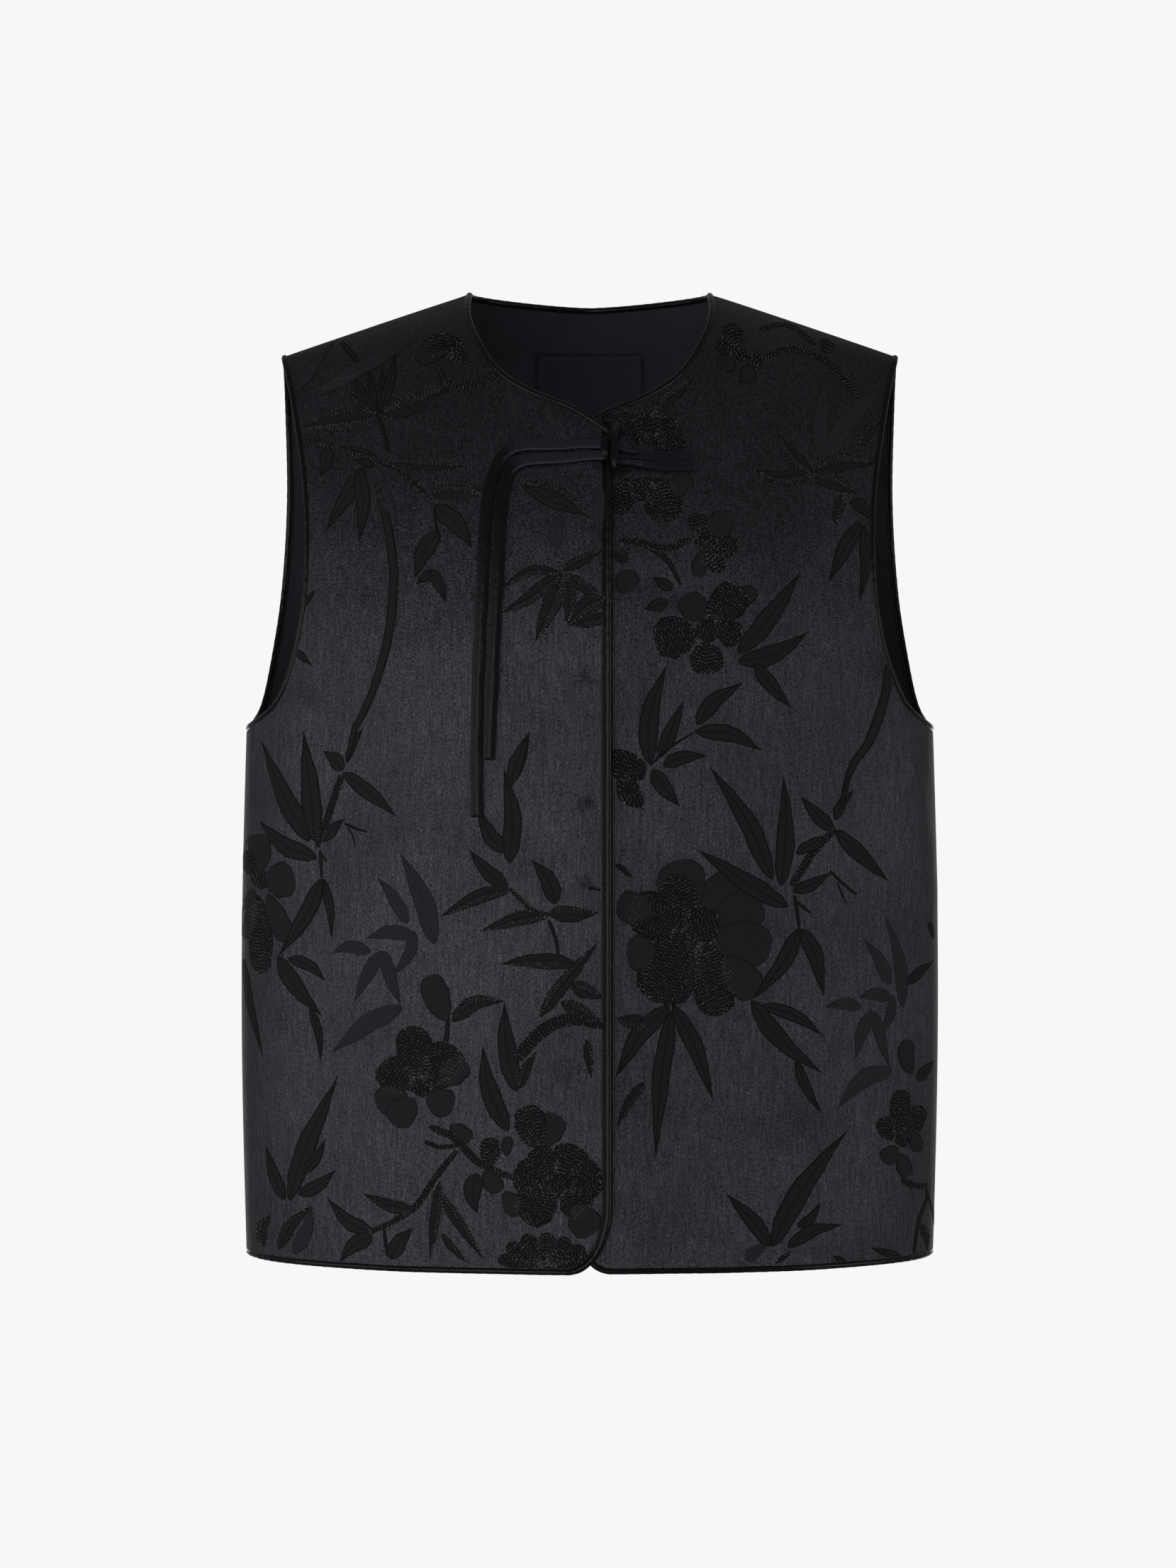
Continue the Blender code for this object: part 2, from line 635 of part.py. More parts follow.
def bow(fronts, finishes, collection):
    """The half bow: a knot, two hanging ends, a loop and a short ear."""
    trees = facets(*fronts)
    knot(finishes, collection)
    for name, route in (("tie_end_long", LONG_TIE), ("tie_end_short", SHORT_TIE)):
        flat = route_points(route)
        strand(name, flat, np.full(len(flat), TIE_LIFT), trees, finishes, collection)
    folded("tie_loop", LOOP_OUT, LOOP_BACK, trees, finishes, collection)
    folded("tie_ear", EAR_OUT, EAR_BACK, trees, finishes, collection)


def label(lining, finishes, collection):
    """A plain woven patch on the lining below the nape."""
    across = np.linspace(LABEL_HALF_WIDTH, -LABEL_HALF_WIDTH, LABEL_COLUMNS + 1)
    down = np.linspace(LABEL_TOP_Z - LABEL_HEIGHT, LABEL_TOP_Z, LABEL_ROWS + 1)
    x, z = (grid.ravel() for grid in np.meshgrid(across, down))
    outer, normals = laid_on("back", facets(lining), INSIDE, x, z, -LABEL_LIFT)
    shape_of_grid = len(down), len(across), 3
    inner = (outer - normals * LABEL_WALL).reshape(shape_of_grid)
    outer = outer.reshape(shape_of_grid)
    return wall("label", outer, inner, shorter_diagonals(outer), finishes["label"], collection)


def material(name, colour, roughness):
    """A plain cloth material: its colour, as linear red, green and blue, and how matte it is."""
    made = bpy.data.materials.new(name)
    made.use_nodes = True
    shader = made.node_tree.nodes["Principled BSDF"]
    shader.inputs["Base Color"].default_value = (*colour, 1.0)
    shader.inputs["Roughness"].default_value = roughness
    shader.inputs["Metallic"].default_value = 0.0
    return made


def main():
    """Clears the scene and builds the garment in one collection."""
    for leftover in list(bpy.data.objects):
        bpy.data.objects.remove(leftover)
    collection = bpy.data.collections.new("waistcoat")
    bpy.context.scene.collection.children.link(collection)
    finishes = {
        "jacquard": material("jacquard_satin", (0.030, 0.028, 0.032), 0.45),
        "lining": material("lining_twill", (0.012, 0.012, 0.014), 0.6),
        "edge_satin": material("edge_satin", (0.014, 0.013, 0.014), 0.4),
        "tie_satin": material("tie_satin", (0.013, 0.013, 0.017), 0.35),
        "label": material("label_weave", (0.009, 0.009, 0.013), 0.5),
    }
    panels, edges = panel_walls(finishes, collection)
    bpy.context.view_layer.update()
    corded_edges(edges, finishes, collection)
    bow((panels["front_right"], panels["front_left"]), finishes, collection)
    label(panels["back_lining"], finishes, collection)


main()
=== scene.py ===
"""The looks of a lined jacquard waistcoat: cloth, woven pattern, piping, ties, label and stage.

Metres, +Z up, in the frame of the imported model: the front faces -Y and the wearer's left is +X.
Cloth is a height over a smooth outer face, so that whatever lies on it is made from its points.
"""

import math

import bpy
import numpy as np
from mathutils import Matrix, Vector


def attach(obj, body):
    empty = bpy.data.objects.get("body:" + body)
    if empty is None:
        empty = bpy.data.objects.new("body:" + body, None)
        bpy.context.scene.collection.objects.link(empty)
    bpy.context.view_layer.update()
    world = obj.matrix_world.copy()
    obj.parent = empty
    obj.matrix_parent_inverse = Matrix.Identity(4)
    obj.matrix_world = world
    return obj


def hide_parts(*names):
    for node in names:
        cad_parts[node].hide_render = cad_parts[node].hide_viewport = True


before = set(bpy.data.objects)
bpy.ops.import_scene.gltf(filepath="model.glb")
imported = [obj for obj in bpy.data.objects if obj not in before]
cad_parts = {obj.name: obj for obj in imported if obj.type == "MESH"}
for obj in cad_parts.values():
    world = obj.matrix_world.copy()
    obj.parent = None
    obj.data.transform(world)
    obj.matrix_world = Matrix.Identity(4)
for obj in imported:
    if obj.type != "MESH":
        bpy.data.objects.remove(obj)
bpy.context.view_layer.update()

bl_info = {
    "name": "Waistcoat looks",
    "version": (1, 0, 0),
    "blender": (4, 5, 0),
    "location": "3D View > Sidebar > Waistcoat",
    "description": "Dresses the packed waistcoat in jacquard satin, piping, ties, lining and label",
    "category": "Object",
}

FRONT, BACK = -1, 1
MM = 0.001

# The garment's form, as in the solids
LENGTH = 0.588
CHEST_HALF = 0.2105
SIDE_SWELL = 0.0030
NECK_HALF = 0.0752
SHOULDER_HALF = 0.186
SHOULDER_SLOPE = 0.339
SHOULDER_ROUNDING = 0.025
NAPE_BELOW_ORIGIN = 0.0042
NAPE_POWER = 1.3
DEPTH = {FRONT: 0.126, BACK: 0.100}
RISE_LENGTH = {FRONT: 0.270, BACK: 0.170}
RISE_POWER = 2.3
FRONT_WALL = 0.0018
BACK_WALL = 0.0012
BACK_WHOLE = 0.0025
SEAM_GAP = 0.0003
PIPING_RADIUS = 0.0020
LAP_HALF = 0.0094
LAP_RISE = 0.0022
LAP_FULL = 0.026
LAP_REACH = 0.085
CORNER_WIDTH = 0.022
CORNER_HEIGHT = 0.038
HEM_Z = -(LENGTH - 2 * PIPING_RADIUS - SEAM_GAP)
UNDERARM_Z = -0.268

# Armhole edge of each panel from the shoulder to the underarm: height, front and back half widths
ARMHOLE = (
    # z, front_x, back_x
    (-0.0700, 0.1780, 0.1862),
    (-0.1250, 0.1695, 0.1864),
    (-0.1800, 0.1690, 0.1900),
    (-0.2220, 0.1760, 0.1960),
    (-0.2520, 0.1875, 0.2023),
)

# Neck edge of a front from the lap up to the shoulder
NECK_EDGE = (
    # x, z
    (-LAP_HALF, -0.0932), (0.0096, -0.0808), (0.0367, -0.0688), (0.0569, -0.0538),
    (0.0707, -0.0302), (0.0756, -0.0138), (0.0752, 0.0),
)

# Soft folds: a ridge of this height (a trough if negative) and half width between two points
FOLDS = {
    "front_right": (
        # x0, z0, x1, z1, half_width, height
        (-0.176, -0.262, -0.184, -0.420, 0.014, 0.0022),
        (-0.150, -0.250, -0.160, -0.500, 0.016, -0.0014),
        (-0.120, -0.380, -0.110, -0.586, 0.022, 0.0016),
        (-0.062, -0.040, -0.004, -0.096, 0.013, 0.0016),
        (-0.040, -0.430, -0.050, -0.586, 0.018, -0.0014),
    ),
    "front_left": (
        (0.178, -0.248, 0.200, -0.360, 0.013, 0.0030),
        (0.150, -0.270, 0.168, -0.420, 0.016, -0.0016),
        (0.020, -0.500, 0.130, -0.515, 0.020, -0.0024),
        (0.118, -0.330, 0.126, -0.586, 0.020, 0.0018),
        (0.060, -0.400, 0.052, -0.586, 0.020, -0.0014),
    ),
    "back": (
        (-0.140, -0.240, -0.120, -0.586, 0.024, 0.0026),
        (-0.070, -0.300, -0.060, -0.586, 0.022, -0.0018),
        (0.015, -0.260, 0.005, -0.586, 0.026, 0.0024),
        (0.085, -0.310, 0.080, -0.586, 0.022, -0.0018),
        (0.150, -0.240, 0.132, -0.586, 0.024, 0.0024),
        (-0.110, -0.100, 0.110, -0.110, 0.020, 0.0014),
    ),
}
FOLD_SEAM_FADE = 0.030  # folds die away this near a seam
FOLD_END = 1.5  # and past their ends over this many half widths
SEAM_DIP = 0.0005  # depth of the dip along the side seams
SEAM_WIDTH = 0.0035  # its half width

# Slighter creases that the solids leave out, in the same columns
CREASES = {
    "front_right": (
        (0.002, -0.2348, -0.003, -0.2348, 0.0045, -0.0010),
        (0.001, -0.3100, -0.004, -0.3102, 0.0045, -0.0011),
        (0.001, -0.3575, -0.003, -0.3575, 0.0045, -0.0008),
        (-0.008, -0.4700, -0.015, -0.4695, 0.0050, -0.0011),
        (-0.196, -0.275, -0.200, -0.330, 0.004, -0.0008),
        (-0.060, -0.055, -0.050, -0.085, 0.005, 0.0005),
    ),
    "front_left": (
        (0.020, -0.180, 0.055, -0.186, 0.009, -0.0006),
        (0.1800, -0.255, 0.1865, -0.300, 0.0040, -0.0010),
        (0.1900, -0.262, 0.2000, -0.320, 0.0050, 0.0008),
        (0.030, -0.470, 0.090, -0.478, 0.010, -0.0007),
    ),
    "back": (
        (-0.190, -0.262, -0.198, -0.330, 0.004, -0.0009),
        (0.190, -0.262, 0.197, -0.322, 0.004, -0.0009),
        (-0.060, -0.020, 0.050, -0.024, 0.006, -0.0005),
    ),
}

# Painted shade on the over front where something under the lap presses it: place, and how dark the satin is
# painted there
SHADED_SPOTS = (
    # x, z, share
    (-0.0010, -0.2348, 0.30),
    (0.0005, -0.2615, 0.22),
    (-0.0014, -0.3100, 0.80),
    (-0.0022, -0.3575, 0.70),
    (-0.0119, -0.4700, 0.45),
)
SPOT_HALF_WIDTH = 0.0048
SPOT_HALF_HEIGHT = 0.0028

# Painted shadow beside the lap's piping, on the over front and as if cast on the under front, as distances
# past the over front's edge, and how dark it is painted; the back stores a place far from it and no painted
# spot shade
LAP_SHADOW_OVER = (-0.0031, -0.0018)
LAP_SHADOW_UNDER = (0.0022, 0.0050)
LAP_SHADOW_DARKNESS = 0.85
NO_LAP_SHADOW = (1.0, 0.0, 0.0)

# Numbers of cells along the panels
DETAIL = 8
CORNER_ROWS = 4 * DETAIL
SIDE_ROWS = 10 * DETAIL
CHEST_ROWS = 6 * DETAIL
NECK_ROWS = 8 * DETAIL
FRONT_COLUMNS = 14 * DETAIL
BACK_ARMHOLE_ROWS = 10 * DETAIL
BACK_SIDE_ROWS = 11 * DETAIL
BACK_NECK_COLUMNS = 5 * DETAIL
BACK_SHOULDER_COLUMNS = 7 * DETAIL
LINING_STEP = 2
FINE_STEPS = 481
SPLINE_STEPS = 48
SLOPE_STEP = 1e-5

# Layers of the dressed cloth, inwards from the outer face
CLOTH = 0.0009
BACK_CLOTH = 0.0010
LINING = 0.0006
SHARP_ANGLE = math.radians(50)

# Piping
PIPING_SHINE = (0.16, 0.21, 0.0, 6.0)  # roughness, specular level, sheen, slant of the threads
PIPING_BITE = 0.0005  # how deep the cord sits in the panel's edge
PIPING_STEP = 0.0015  # length of a ring of cells
PIPING_SIDES = 14
PIPING_PUCKER = 0.045  # greatest pinch over the radius
PIPING_WAVES = (
    # turn a metre, start, height
    (820.0, 0.0, 1.0),
    (1430.0, 1.0, 0.6),
)

# Ties
TIE_SHINE = (0.24, 0.14, 0.02, 3.0)  # as for the piping
TIE_HALF_WIDTH = 0.0037
TIE_HALF_THICKNESS = 0.0011
TIE_LIFT = 0.0016  # height of the middle line over the cloth
TIE_STEP = 0.0012  # length of a ring of cells
TIE_SIDES = 20
TIE_ROUNDNESS = (0.75, 0.5)  # power of the cosine across, and of the sine through the thickness
TIE_LEVEL, TIE_UPRIGHT = 0.2, 0.8  # steepness up to which a tie lies flat and is painted lit, and from which it hangs
TIE_GATHER = 0.78  # width at the knot over the full width
TIE_WAVES = (
    # turn a metre, start, height
    (210.0, 0.0, 0.035),
    (97.0, 2.0, 0.03),
)
GATHER_REACH = 0.030  # distance from the knot in which a tie widens
TIE_SLOPE = 0.80  # how far the sides of a hanging tie drop from its ridge
TIE_CROWN = 0.10  # and those of a level one
TIE_UNDERSIDE = 0.6  # thickness below the middle line over that above
TIE_END_TAPER = 0.15  # how much narrower the very end is
END_LEAST = 0.04  # square of the least share of the thickness at an end
BAND_RINGS = 48
BAND_SIDES = 40
BAND_TONE = 0.55  # share of the painted sheen's lit colour on a band
BAND_RIM = 0.93  # share of the length past which it is painted fully lit, a painted highlight at its end
BAND_ROUNDNESS = 0.55
BAND_WIDENING = 1.25  # how fast a band reaches its full width
BAND_SWELL = 0.2  # how much its fullness comes and goes
BAND_SWELL_TURNS = (7.0, 1.5)  # along it and across it
BAND_GROOVE_SHADE = 1.4  # how fast the painted shade in a groove darkens with its depth
BAND_END_TAPER = 0.10
KNOT_X = 0.0137
KNOT_Z = -0.1028
KNOT_LIFT = 0.0056  # from the over front's face out to the knot's middle
KNOT_REACH = 0.014  # distance over which a tie comes down from the knot
KNOT_HALF_WIDTH = 0.0034

# Routes of the ties on the front, as in the solids: x and z of each point from the knot on
LONG_TIE = (
    (0.0097, -0.1000), (-0.0130, -0.1012), (-0.0370, -0.1010), (-0.0480, -0.1045),
    (-0.0550, -0.1140), (-0.0590, -0.1290), (-0.0612, -0.1500), (-0.0630, -0.1850),
    (-0.0645, -0.2200), (-0.0658, -0.2560), (-0.0661, -0.2890), (-0.0659, -0.3192),
)
SHORT_TIE = (
    (0.0097, -0.1066), (-0.0130, -0.1088), (-0.0330, -0.1094), (-0.0420, -0.1120),
    (-0.0480, -0.1185), (-0.0508, -0.1300), (-0.0525, -0.1480), (-0.0542, -0.1850),
    (-0.0558, -0.2170), (-0.0576, -0.2560), (-0.0589, -0.2858),
)
# Bands that come out of the knot: route, half widths, half depth, and grooves across them
LOOP_BAND = (
    ((0.0150, -0.1088), (0.0300, -0.1092), (0.0480, -0.1094), (0.0622, -0.1086)),
    (0.0030, 0.0065), 0.0016,
    # place at the knot, place at the end, half width, depth
    ((0.0, 0.06, 0.07, 0.55), (0.5, 0.55, 0.10, 0.12), (-0.6, -0.5, 0.12, 0.15)),
)
EAR_BAND = (
    ((0.0150, -0.1010), (0.0205, -0.1004), (0.0264, -0.0992)),
    (0.0030, 0.0062), 0.0020,
    ((0.1, 0.45, 0.13, 0.6), (-0.1, -0.55, 0.13, 0.5), (0.0, 0.0, 0.08, 0.25)),
)

# Turns of the knot: x, z, how far they stand out, and half sizes across, outwards and upwards
KNOT_TURNS = (
    (0.0140, -0.1045, 0.0004, (0.0026, 0.0042, 0.0122)),
    (0.0090, -0.1030, -0.0010, (0.0034, 0.0038, 0.0068)),
)
KNOT_RINGS = 25
KNOT_SIDES = 40
KNOT_ROUNDNESS = 0.8
KNOT_TAPER = 2.6  # power that a turn closes with at its ends
KNOT_LEAST = 0.05
KNOT_CREASE = 0.04  # depth of the creases over the radius
KNOT_CREASE_TURNS = (7.0, 1.3, 0.6)  # along, around, start

# Label
LABEL_HALF_WIDTH = 0.033
LABEL_TOP_Z = -0.028
LABEL_HEIGHT = 0.048
LABEL_LIFT = 0.0004  # gap between lining and label
LABEL_WALL = 0.0010
LABEL_FOLD = 0.006  # width of the turned-in edge
LABEL_FOLD_SHARE = 0.25  # how much thinner the patch is inside it
LABEL_INSET = 0.0022  # from the edge to the stitches
LABEL_CELLS = (44, 32)

# Kinds of figure: how it widens and narrows along its length, its cells across, its tone, and whether it
# has a midrib and stitches
KINDS = {
    # kind: widening, narrowing, cells, tone, ribbed, stitched
    "leaf": (0.62, 1.15, 4, 0.5, True, False),
    "pale": (0.62, 1.10, 4, 1.0, True, False),
    "thread": (0.62, 1.05, 4, 0.42, True, True),
    "petal": (0.60, 0.38, 6, 0.62, False, False),
    "rich": (0.60, 0.38, 6, 0.0, False, True),
    "stem": (0.20, 0.30, 2, 0.5, False, False),
    "branch": (0.10, 0.15, 4, 0.0, False, True),
}
FIGURE_LIFT = 0.00010  # height of the lowest figure over the cloth
FIGURE_STEP = 0.00002  # from each layer to the next, so that crossing figures lie apart
FIGURE_LAYERS = 12
FIGURE_ROOT = 0.00025  # how deep the underside lies in the cloth
FIGURE_CELL = 0.0045  # length of a row of cells
FIGURE_ROWS = (9, 18)  # fewest and most
FIGURE_MARGIN = 0.0006  # left free along a panel's edge
FIGURE_POINT = 0.03  # least width over the greatest
FIGURE_WAVE = 0.07  # how much an outline wavers
FIGURE_WAVE_RATE = 700.0  # turn a metre

# Stitches, bright with painted glints
STITCH_LENGTH = 0.0012
STITCH_STEP = 0.0021  # from start to start
STITCH_RADIUS = 0.00016
STITCH_ROW = 0.00125  # between rows on the fronts
BACK_ROW = 0.0014  # and on the back
STITCH_INSET = 0.84  # share of the width that the rows fill
STITCH_EDGE = 0.94  # where the rows along the edges lie
STITCH_ROOM = 0.3  # no stitches where rows draw closer than this share of their spacing
STITCH_STAGGER = 0.9  # greatest shift of a row, in steps
STITCH_JITTER = 0.1  # and of a stitch
STITCH_LENGTHS = (0.6, 1.1)  # shortest and longest over STITCH_LENGTH
STITCH_SPAN = (0.01, 0.97, 0.99)  # shares of a figure's length: first start, last start, last stop
STITCH_PROUD = 0.3  # height of a thread's middle line over its ground, in radii
LABEL_STITCH_PROUD = 0.4  # the same on the label

# Woven figures as seen from outside, in millimetres: a width, then x and z of each point from foot to tip
FIGURES = {
    "front_right": {
        "leaf": (
            (6.8, -128, -78, -137, -65, -143, -51), (5.1, -127, -78, -131, -62, -134, -46),
            (5.9, -126, -78, -125, -63, -125, -48), (6.8, -126, -78, -120, -59, -117, -38),
            (5.1, -128, -110, -141, -106), (9.7, -134, -111, -146, -129, -158, -149),
            (9.3, -138, -111, -135, -132, -137, -156), (8.5, -158, -97, -158, -106, -162, -115),
            (11.7, -92, -135, -79, -146, -69, -161), (10.9, -89, -151, -98, -162, -103, -178),
            (7.1, -95, -173, -88, -183, -85, -193), (5.4, -94, -174, -102, -182),
            (3.4, -170, -193, -164, -183), (4.7, -177, -219, -166, -229),
            (9.3, -148, -292, -152, -285, -159, -280), (5, -145, -287, -140, -275, -134, -266),
            (8.3, -38, -125, -20, -135, 0, -143), (9.1, -47, -299, -41, -284, -35, -269),
            (9.4, -147, -293, -129, -306, -114, -319), (11.8, -167, -334, -182, -306, -199, -274),
            (11, -164, -334, -166, -305, -170, -268), (11, -163, -344, -182, -336, -200, -322),
            (7.1, -160, -334, -153, -326, -146, -320), (9.4, -160, -356, -170, -380, -185, -403),
            (5.9, -159, -356, -155, -374, -154, -393), (10.3, -185, -403, -175, -421, -160, -438),
            (7.5, -179, -404, -167, -408, -158, -417), (5.5, -167, -433, -162, -449, -161, -465),
            (6, -211, -406, -205, -436, -197, -464), (11.9, -180, -549, -168, -512, -150, -473),
            (6.7, -171, -532, -163, -522, -158, -511), (8.3, -183, -549, -190, -534, -195, -518),
            (8.3, -174, -545, -162, -539, -151, -529), (9.7, -49, -340, -59, -329, -65, -314),
            (11.2, -47, -346, -45, -320, -50, -291), (8.5, -47, -301, -42, -285, -35, -269),
            (9.3, -48, -360, -61, -350, -71, -338), (10.8, -20, -370, -24, -356, -34, -344),
            (11.6, -43, -480, -49, -453, -50, -427), (11.6, -48, -503, -59, -479, -63, -453),
            (11.3, -66, -528, -69, -540, -66, -552), (9.4, -127, -565, -143, -559, -156, -546),
            (9.8, -128, -567, -140, -573, -148, -583), (9.8, -117, -580, -112, -570, -104, -561),
        ),
        "pale": (
            (9.4, -166, -64, -136, -48, -106, -33), (7.3, -176, -60, -167, -44, -156, -30),
            (7.6, -131, -117, -122, -130, -113, -146), (8.3, -19, -162, -20, -151, -16, -141),
            (7.1, 7, -126, 5, -143, 6, -160), (4.2, -49, -59, -45, -78, -40, -94),
            (4.2, -26, -77, -22, -87, -19, -97), (12.1, -91, -394, -99, -365, -112, -340),
            (8.2, -107, -382, -115, -367, -125, -355), (9, -103, -389, -118, -387, -132, -391),
            (8.2, -129, -399, -142, -396, -154, -400), (7, -103, -386, -106, -400, -116, -413),
            (8.6, -122, -398, -131, -412, -139, -428), (8.2, -121, -398, -117, -414, -111, -430),
            (11.7, -110, -431, -130, -441, -154, -459), (8.7, -177, -581, -169, -566, -166, -551),
        ),
        "thread": (
            (12.3, -127, -79, -151, -83, -175, -84), (5.3, -128, -78, -146, -63),
            (12.7, -125, -78, -106, -73, -85, -64), (6.4, -163, -63, -151, -58, -140, -53),
            (7.6, -121, -108, -95, -111, -71, -112), (6.3, -127, -105, -139, -101, -153, -97),
            (7.2, -155, -96, -164, -94, -174, -92), (9.6, -94, -128, -78, -127, -62, -130),
            (9.2, -38, -124, -18, -130, 1, -145), (7.1, -51, -127, -76, -127),
            (6.2, -17, -176, -35, -175, -53, -186), (8.7, -17, -176, -34, -190, -52, -200),
            (11.6, -16, -177, -23, -196, -32, -217), (9.1, -14, -178, -12, -191, -13, -207),
            (7.1, -16, -175, -3, -168, 9, -162), (7.5, -14, -177, -3, -185, 10, -192),
            (11.6, 10, -190, -3, -196, -12, -206), (7.9, 10, -201, -1, -205, -12, -207),
            (7.9, -187, -579, -179, -564, -166, -551), (7.6, -197, -579, -198, -568, -192, -558),
            (8.9, -46, -361, -66, -366, -88, -378), (8.9, -23, -376, -43, -379, -64, -386),
            (10.1, -24, -375, -10, -376, 5, -375), (9.7, -8, -405, -31, -403, -52, -405),
            (8.9, -29, -436, -15, -416, 5, -392), (9.7, -11, -417, -2, -421, 8, -425),
            (8.9, -17, -427, -5, -433, 8, -440), (5.8, -2, -449, 1, -472),
            (6.6, -41, -478, -37, -466, -31, -456), (2.7, -2, -360, 8, -362),
            (9.7, -81, -439, -67, -428, -50, -427), (8.2, -102, -551, -118, -548, -134, -542),
            (6.6, -88, -533, -91, -556, -94, -580), (6.6, -88, -540, -76, -559, -62, -579),
            (4.7, -87, -564, -80, -573, -71, -581),
        ),
        "petal": (
            (19.1, -90, -45, -102, -36), (14.9, -86, -47, -80, -55), (20, -198, -353, -202, -330),
            (21.9, -195, -359, -175, -356), (13.9, -193, -366, -179, -394),
            (14, -204, -363, -210, -394), (16.3, -84, -439, -90, -425, -94, -412),
            (16.7, -88, -476, -73, -462), (17.5, -107, -483, -126, -488),
            (17.5, -103, -485, -116, -500), (17.5, -96, -484, -80, -489), (10.9, -82, -500, -70, -509),
            (6.6, -49, -518, -48, -506), (11.6, -62, -526, -53, -539), (17.4, -29, -512, -19, -493),
            (19.4, -10, -546, 2, -563), (15.5, -40, -544, -51, -547),
        ),
        "rich": (
            (10, -24, -583, -54, -578), (11, -24, -583, -49, -570), (11.5, -24, -583, -39, -564),
            (12, -24, -583, -26, -562), (11.5, -24, -583, -13, -565), (11, -24, -583, -3, -571),
            (10, -24, -583, 2, -578),
            (20.2, -88, -44, -93, -29), (20.2, -86, -43, -75, -37), (9.8, -91, -40, -80, -41),
            (18, -200, -367, -197, -414), (12, -203, -355, -211, -341), (21.4, -100, -475, -105, -442),
            (26.3, -97, -478, -79, -454), (21.4, -104, -479, -123, -465), (12.4, -59, -524, -58, -507),
            (19.4, -31, -513, -37, -488), (21.3, -20, -530, -35, -515), (21.3, -16, -529, -8, -511),
            (23.2, -13, -532, 7, -530), (21.3, -15, -536, -2, -550), (25.2, -21, -536, -40, -554),
            (21.3, -24, -532, -45, -529), (13.6, -107, -477, -91, -477), (16.3, -26, -534, -9, -534),
            (12, -205, -357, -193, -357),
        ),
        "stem": (
            (2.1, -127, -79, -122, -92, -120, -102), (3.5, -152, -30, -146, -37, -140, -45),
            (4.2, -89, -53, -85, -66), (1.7, -92, -136, -90, -152),
            (5.5, -127, -120, -120, -146, -116, -174, -117, -197, -121, -222, -131, -251,
             -140, -268, -144, -286),
            (1.6, -146, -323, -139, -326, -132, -328), (1, -144, -325, -141, -330, -139, -337),
            (2, -161, -339, -160, -356), (1.2, -161, -340, -157, -346),
            (2.3, -24, -379, -20, -390, -18, -402), (3.1, -85, -456, -84, -447, -83, -437),
            (2, -121, -561, -119, -578),
        ),
        "branch": (
            (5.1, -88, -59, -73, -62, -54, -57), (3, -128, -107, -110, -116, -94, -131),
            (4.3, -148, -294, -155, -315, -163, -338), (2.7, -48, -360, -34, -373, -22, -377),
            (7.7, -43, -461, -30, -446, -12, -437, 8, -441),
            (4.7, -94, -501, -79, -508, -65, -522, -44, -531), (3.1, -97, -510, -88, -513, -78, -512),
            (3.9, -78, -515, -90, -530, -102, -548, -118, -559, -131, -565),
        ),
    },
    "front_left": {
        "leaf": (
            (11.8, 87, -223, 104, -204, 125, -174), (11.8, 87, -228, 109, -223, 129, -210),
            (9.3, 97, -229, 107, -242, 119, -255), (7.3, 49, -185, 37, -178), (8.1, 46, -193, 32, -197),
            (8.3, 156, -130, 165, -135, 171, -143), (9.5, 162, -143, 151, -161, 142, -180),
            (7.4, 164, -145, 165, -167, 161, -191), (11.7, 35, -288, 35, -260, 45, -230),
            (8.5, 41, -284, 48, -268, 55, -251), (9.7, 63, -265, 72, -252, 90, -240),
            (10.1, 62, -269, 82, -270, 101, -280), (8.9, 43, -289, 55, -284, 69, -283),
            (10.1, 37, -291, 43, -301, 53, -313), (11.3, 107, -356, 92, -321, 70, -289),
            (10.9, 112, -360, 115, -327, 114, -295), (11.7, 116, -372, 94, -359, 63, -338),
            (7, 121, -341, 131, -335, 143, -330), (9, 145, -327, 135, -319, 124, -307),
            (6.7, 146, -321, 150, -312, 158, -303), (9.8, 146, -327, 162, -342, 179, -358),
            (7.8, 119, -363, 131, -359, 143, -352), (9.8, 123, -385, 112, -407, 95, -427),
            (10.2, 124, -385, 133, -402, 138, -425), (10.9, 95, -427, 112, -451, 137, -471),
            (8.2, 101, -430, 120, -436, 138, -449), (6.6, 121, -463, 127, -479, 137, -495),
            (11.6, 47, -430, 29, -447, 15, -472), (10.8, 48, -433, 42, -474, 39, -519),
            (10.1, 49, -429, 62, -454, 73, -486), (6.8, 191, -420, 199, -413, 209, -407),
            (3.6, 205, -383, 209, -394), (7.6, 198, -479, 203, -473, 209, -468),
            (12.5, 107, -572, 123, -541, 153, -506), (6.2, 122, -561, 130, -556, 136, -547),
            (9.3, 106, -572, 95, -556, 80, -540), (8.2, 116, -573, 130, -564, 150, -561),
            (5.2, 187, -584, 167, -576), (3.9, 152, -584, 143, -579),
        ),
        "pale": (
            (9.9, 139, -108, 138, -82, 143, -54), (11.1, 138, -109, 156, -81, 181, -55),
            (7.9, 188, -434, 186, -405, 177, -378), (7.5, 180, -420, 174, -405, 164, -392),
            (8.3, 181, -428, 171, -425, 161, -427), (7.9, 162, -433, 151, -430, 139, -432),
            (5.9, 182, -426, 180, -439, 172, -451), (8.3, 169, -435, 162, -448, 158, -463),
            (7.1, 170, -435, 174, -452, 179, -469), (11.5, 181, -471, 162, -476, 147, -492),
            (7.8, 92, -580, 98, -574, 105, -570),
        ),
        "thread": (
            (10.2, 37, -85, 47, -71, 62, -58), (6.1, 30, -83, 19, -82, 6, -84),
            (8.9, 15, -164, 24, -168), (8.2, 133, -114, 121, -104, 112, -90),
            (10.3, 133, -114, 114, -118, 97, -113), (11.9, 134, -113, 152, -107, 171, -107),
            (10.3, 134, -117, 148, -120, 160, -126), (8.3, 163, -96, 168, -87, 176, -80),
            (7.4, 151, -127, 148, -136, 146, -145), (3.9, 15, -346, 26, -355),
            (6.2, 33, -474, 24, -485, 16, -501), (9.7, 34, -440, 25, -439, 15, -437),
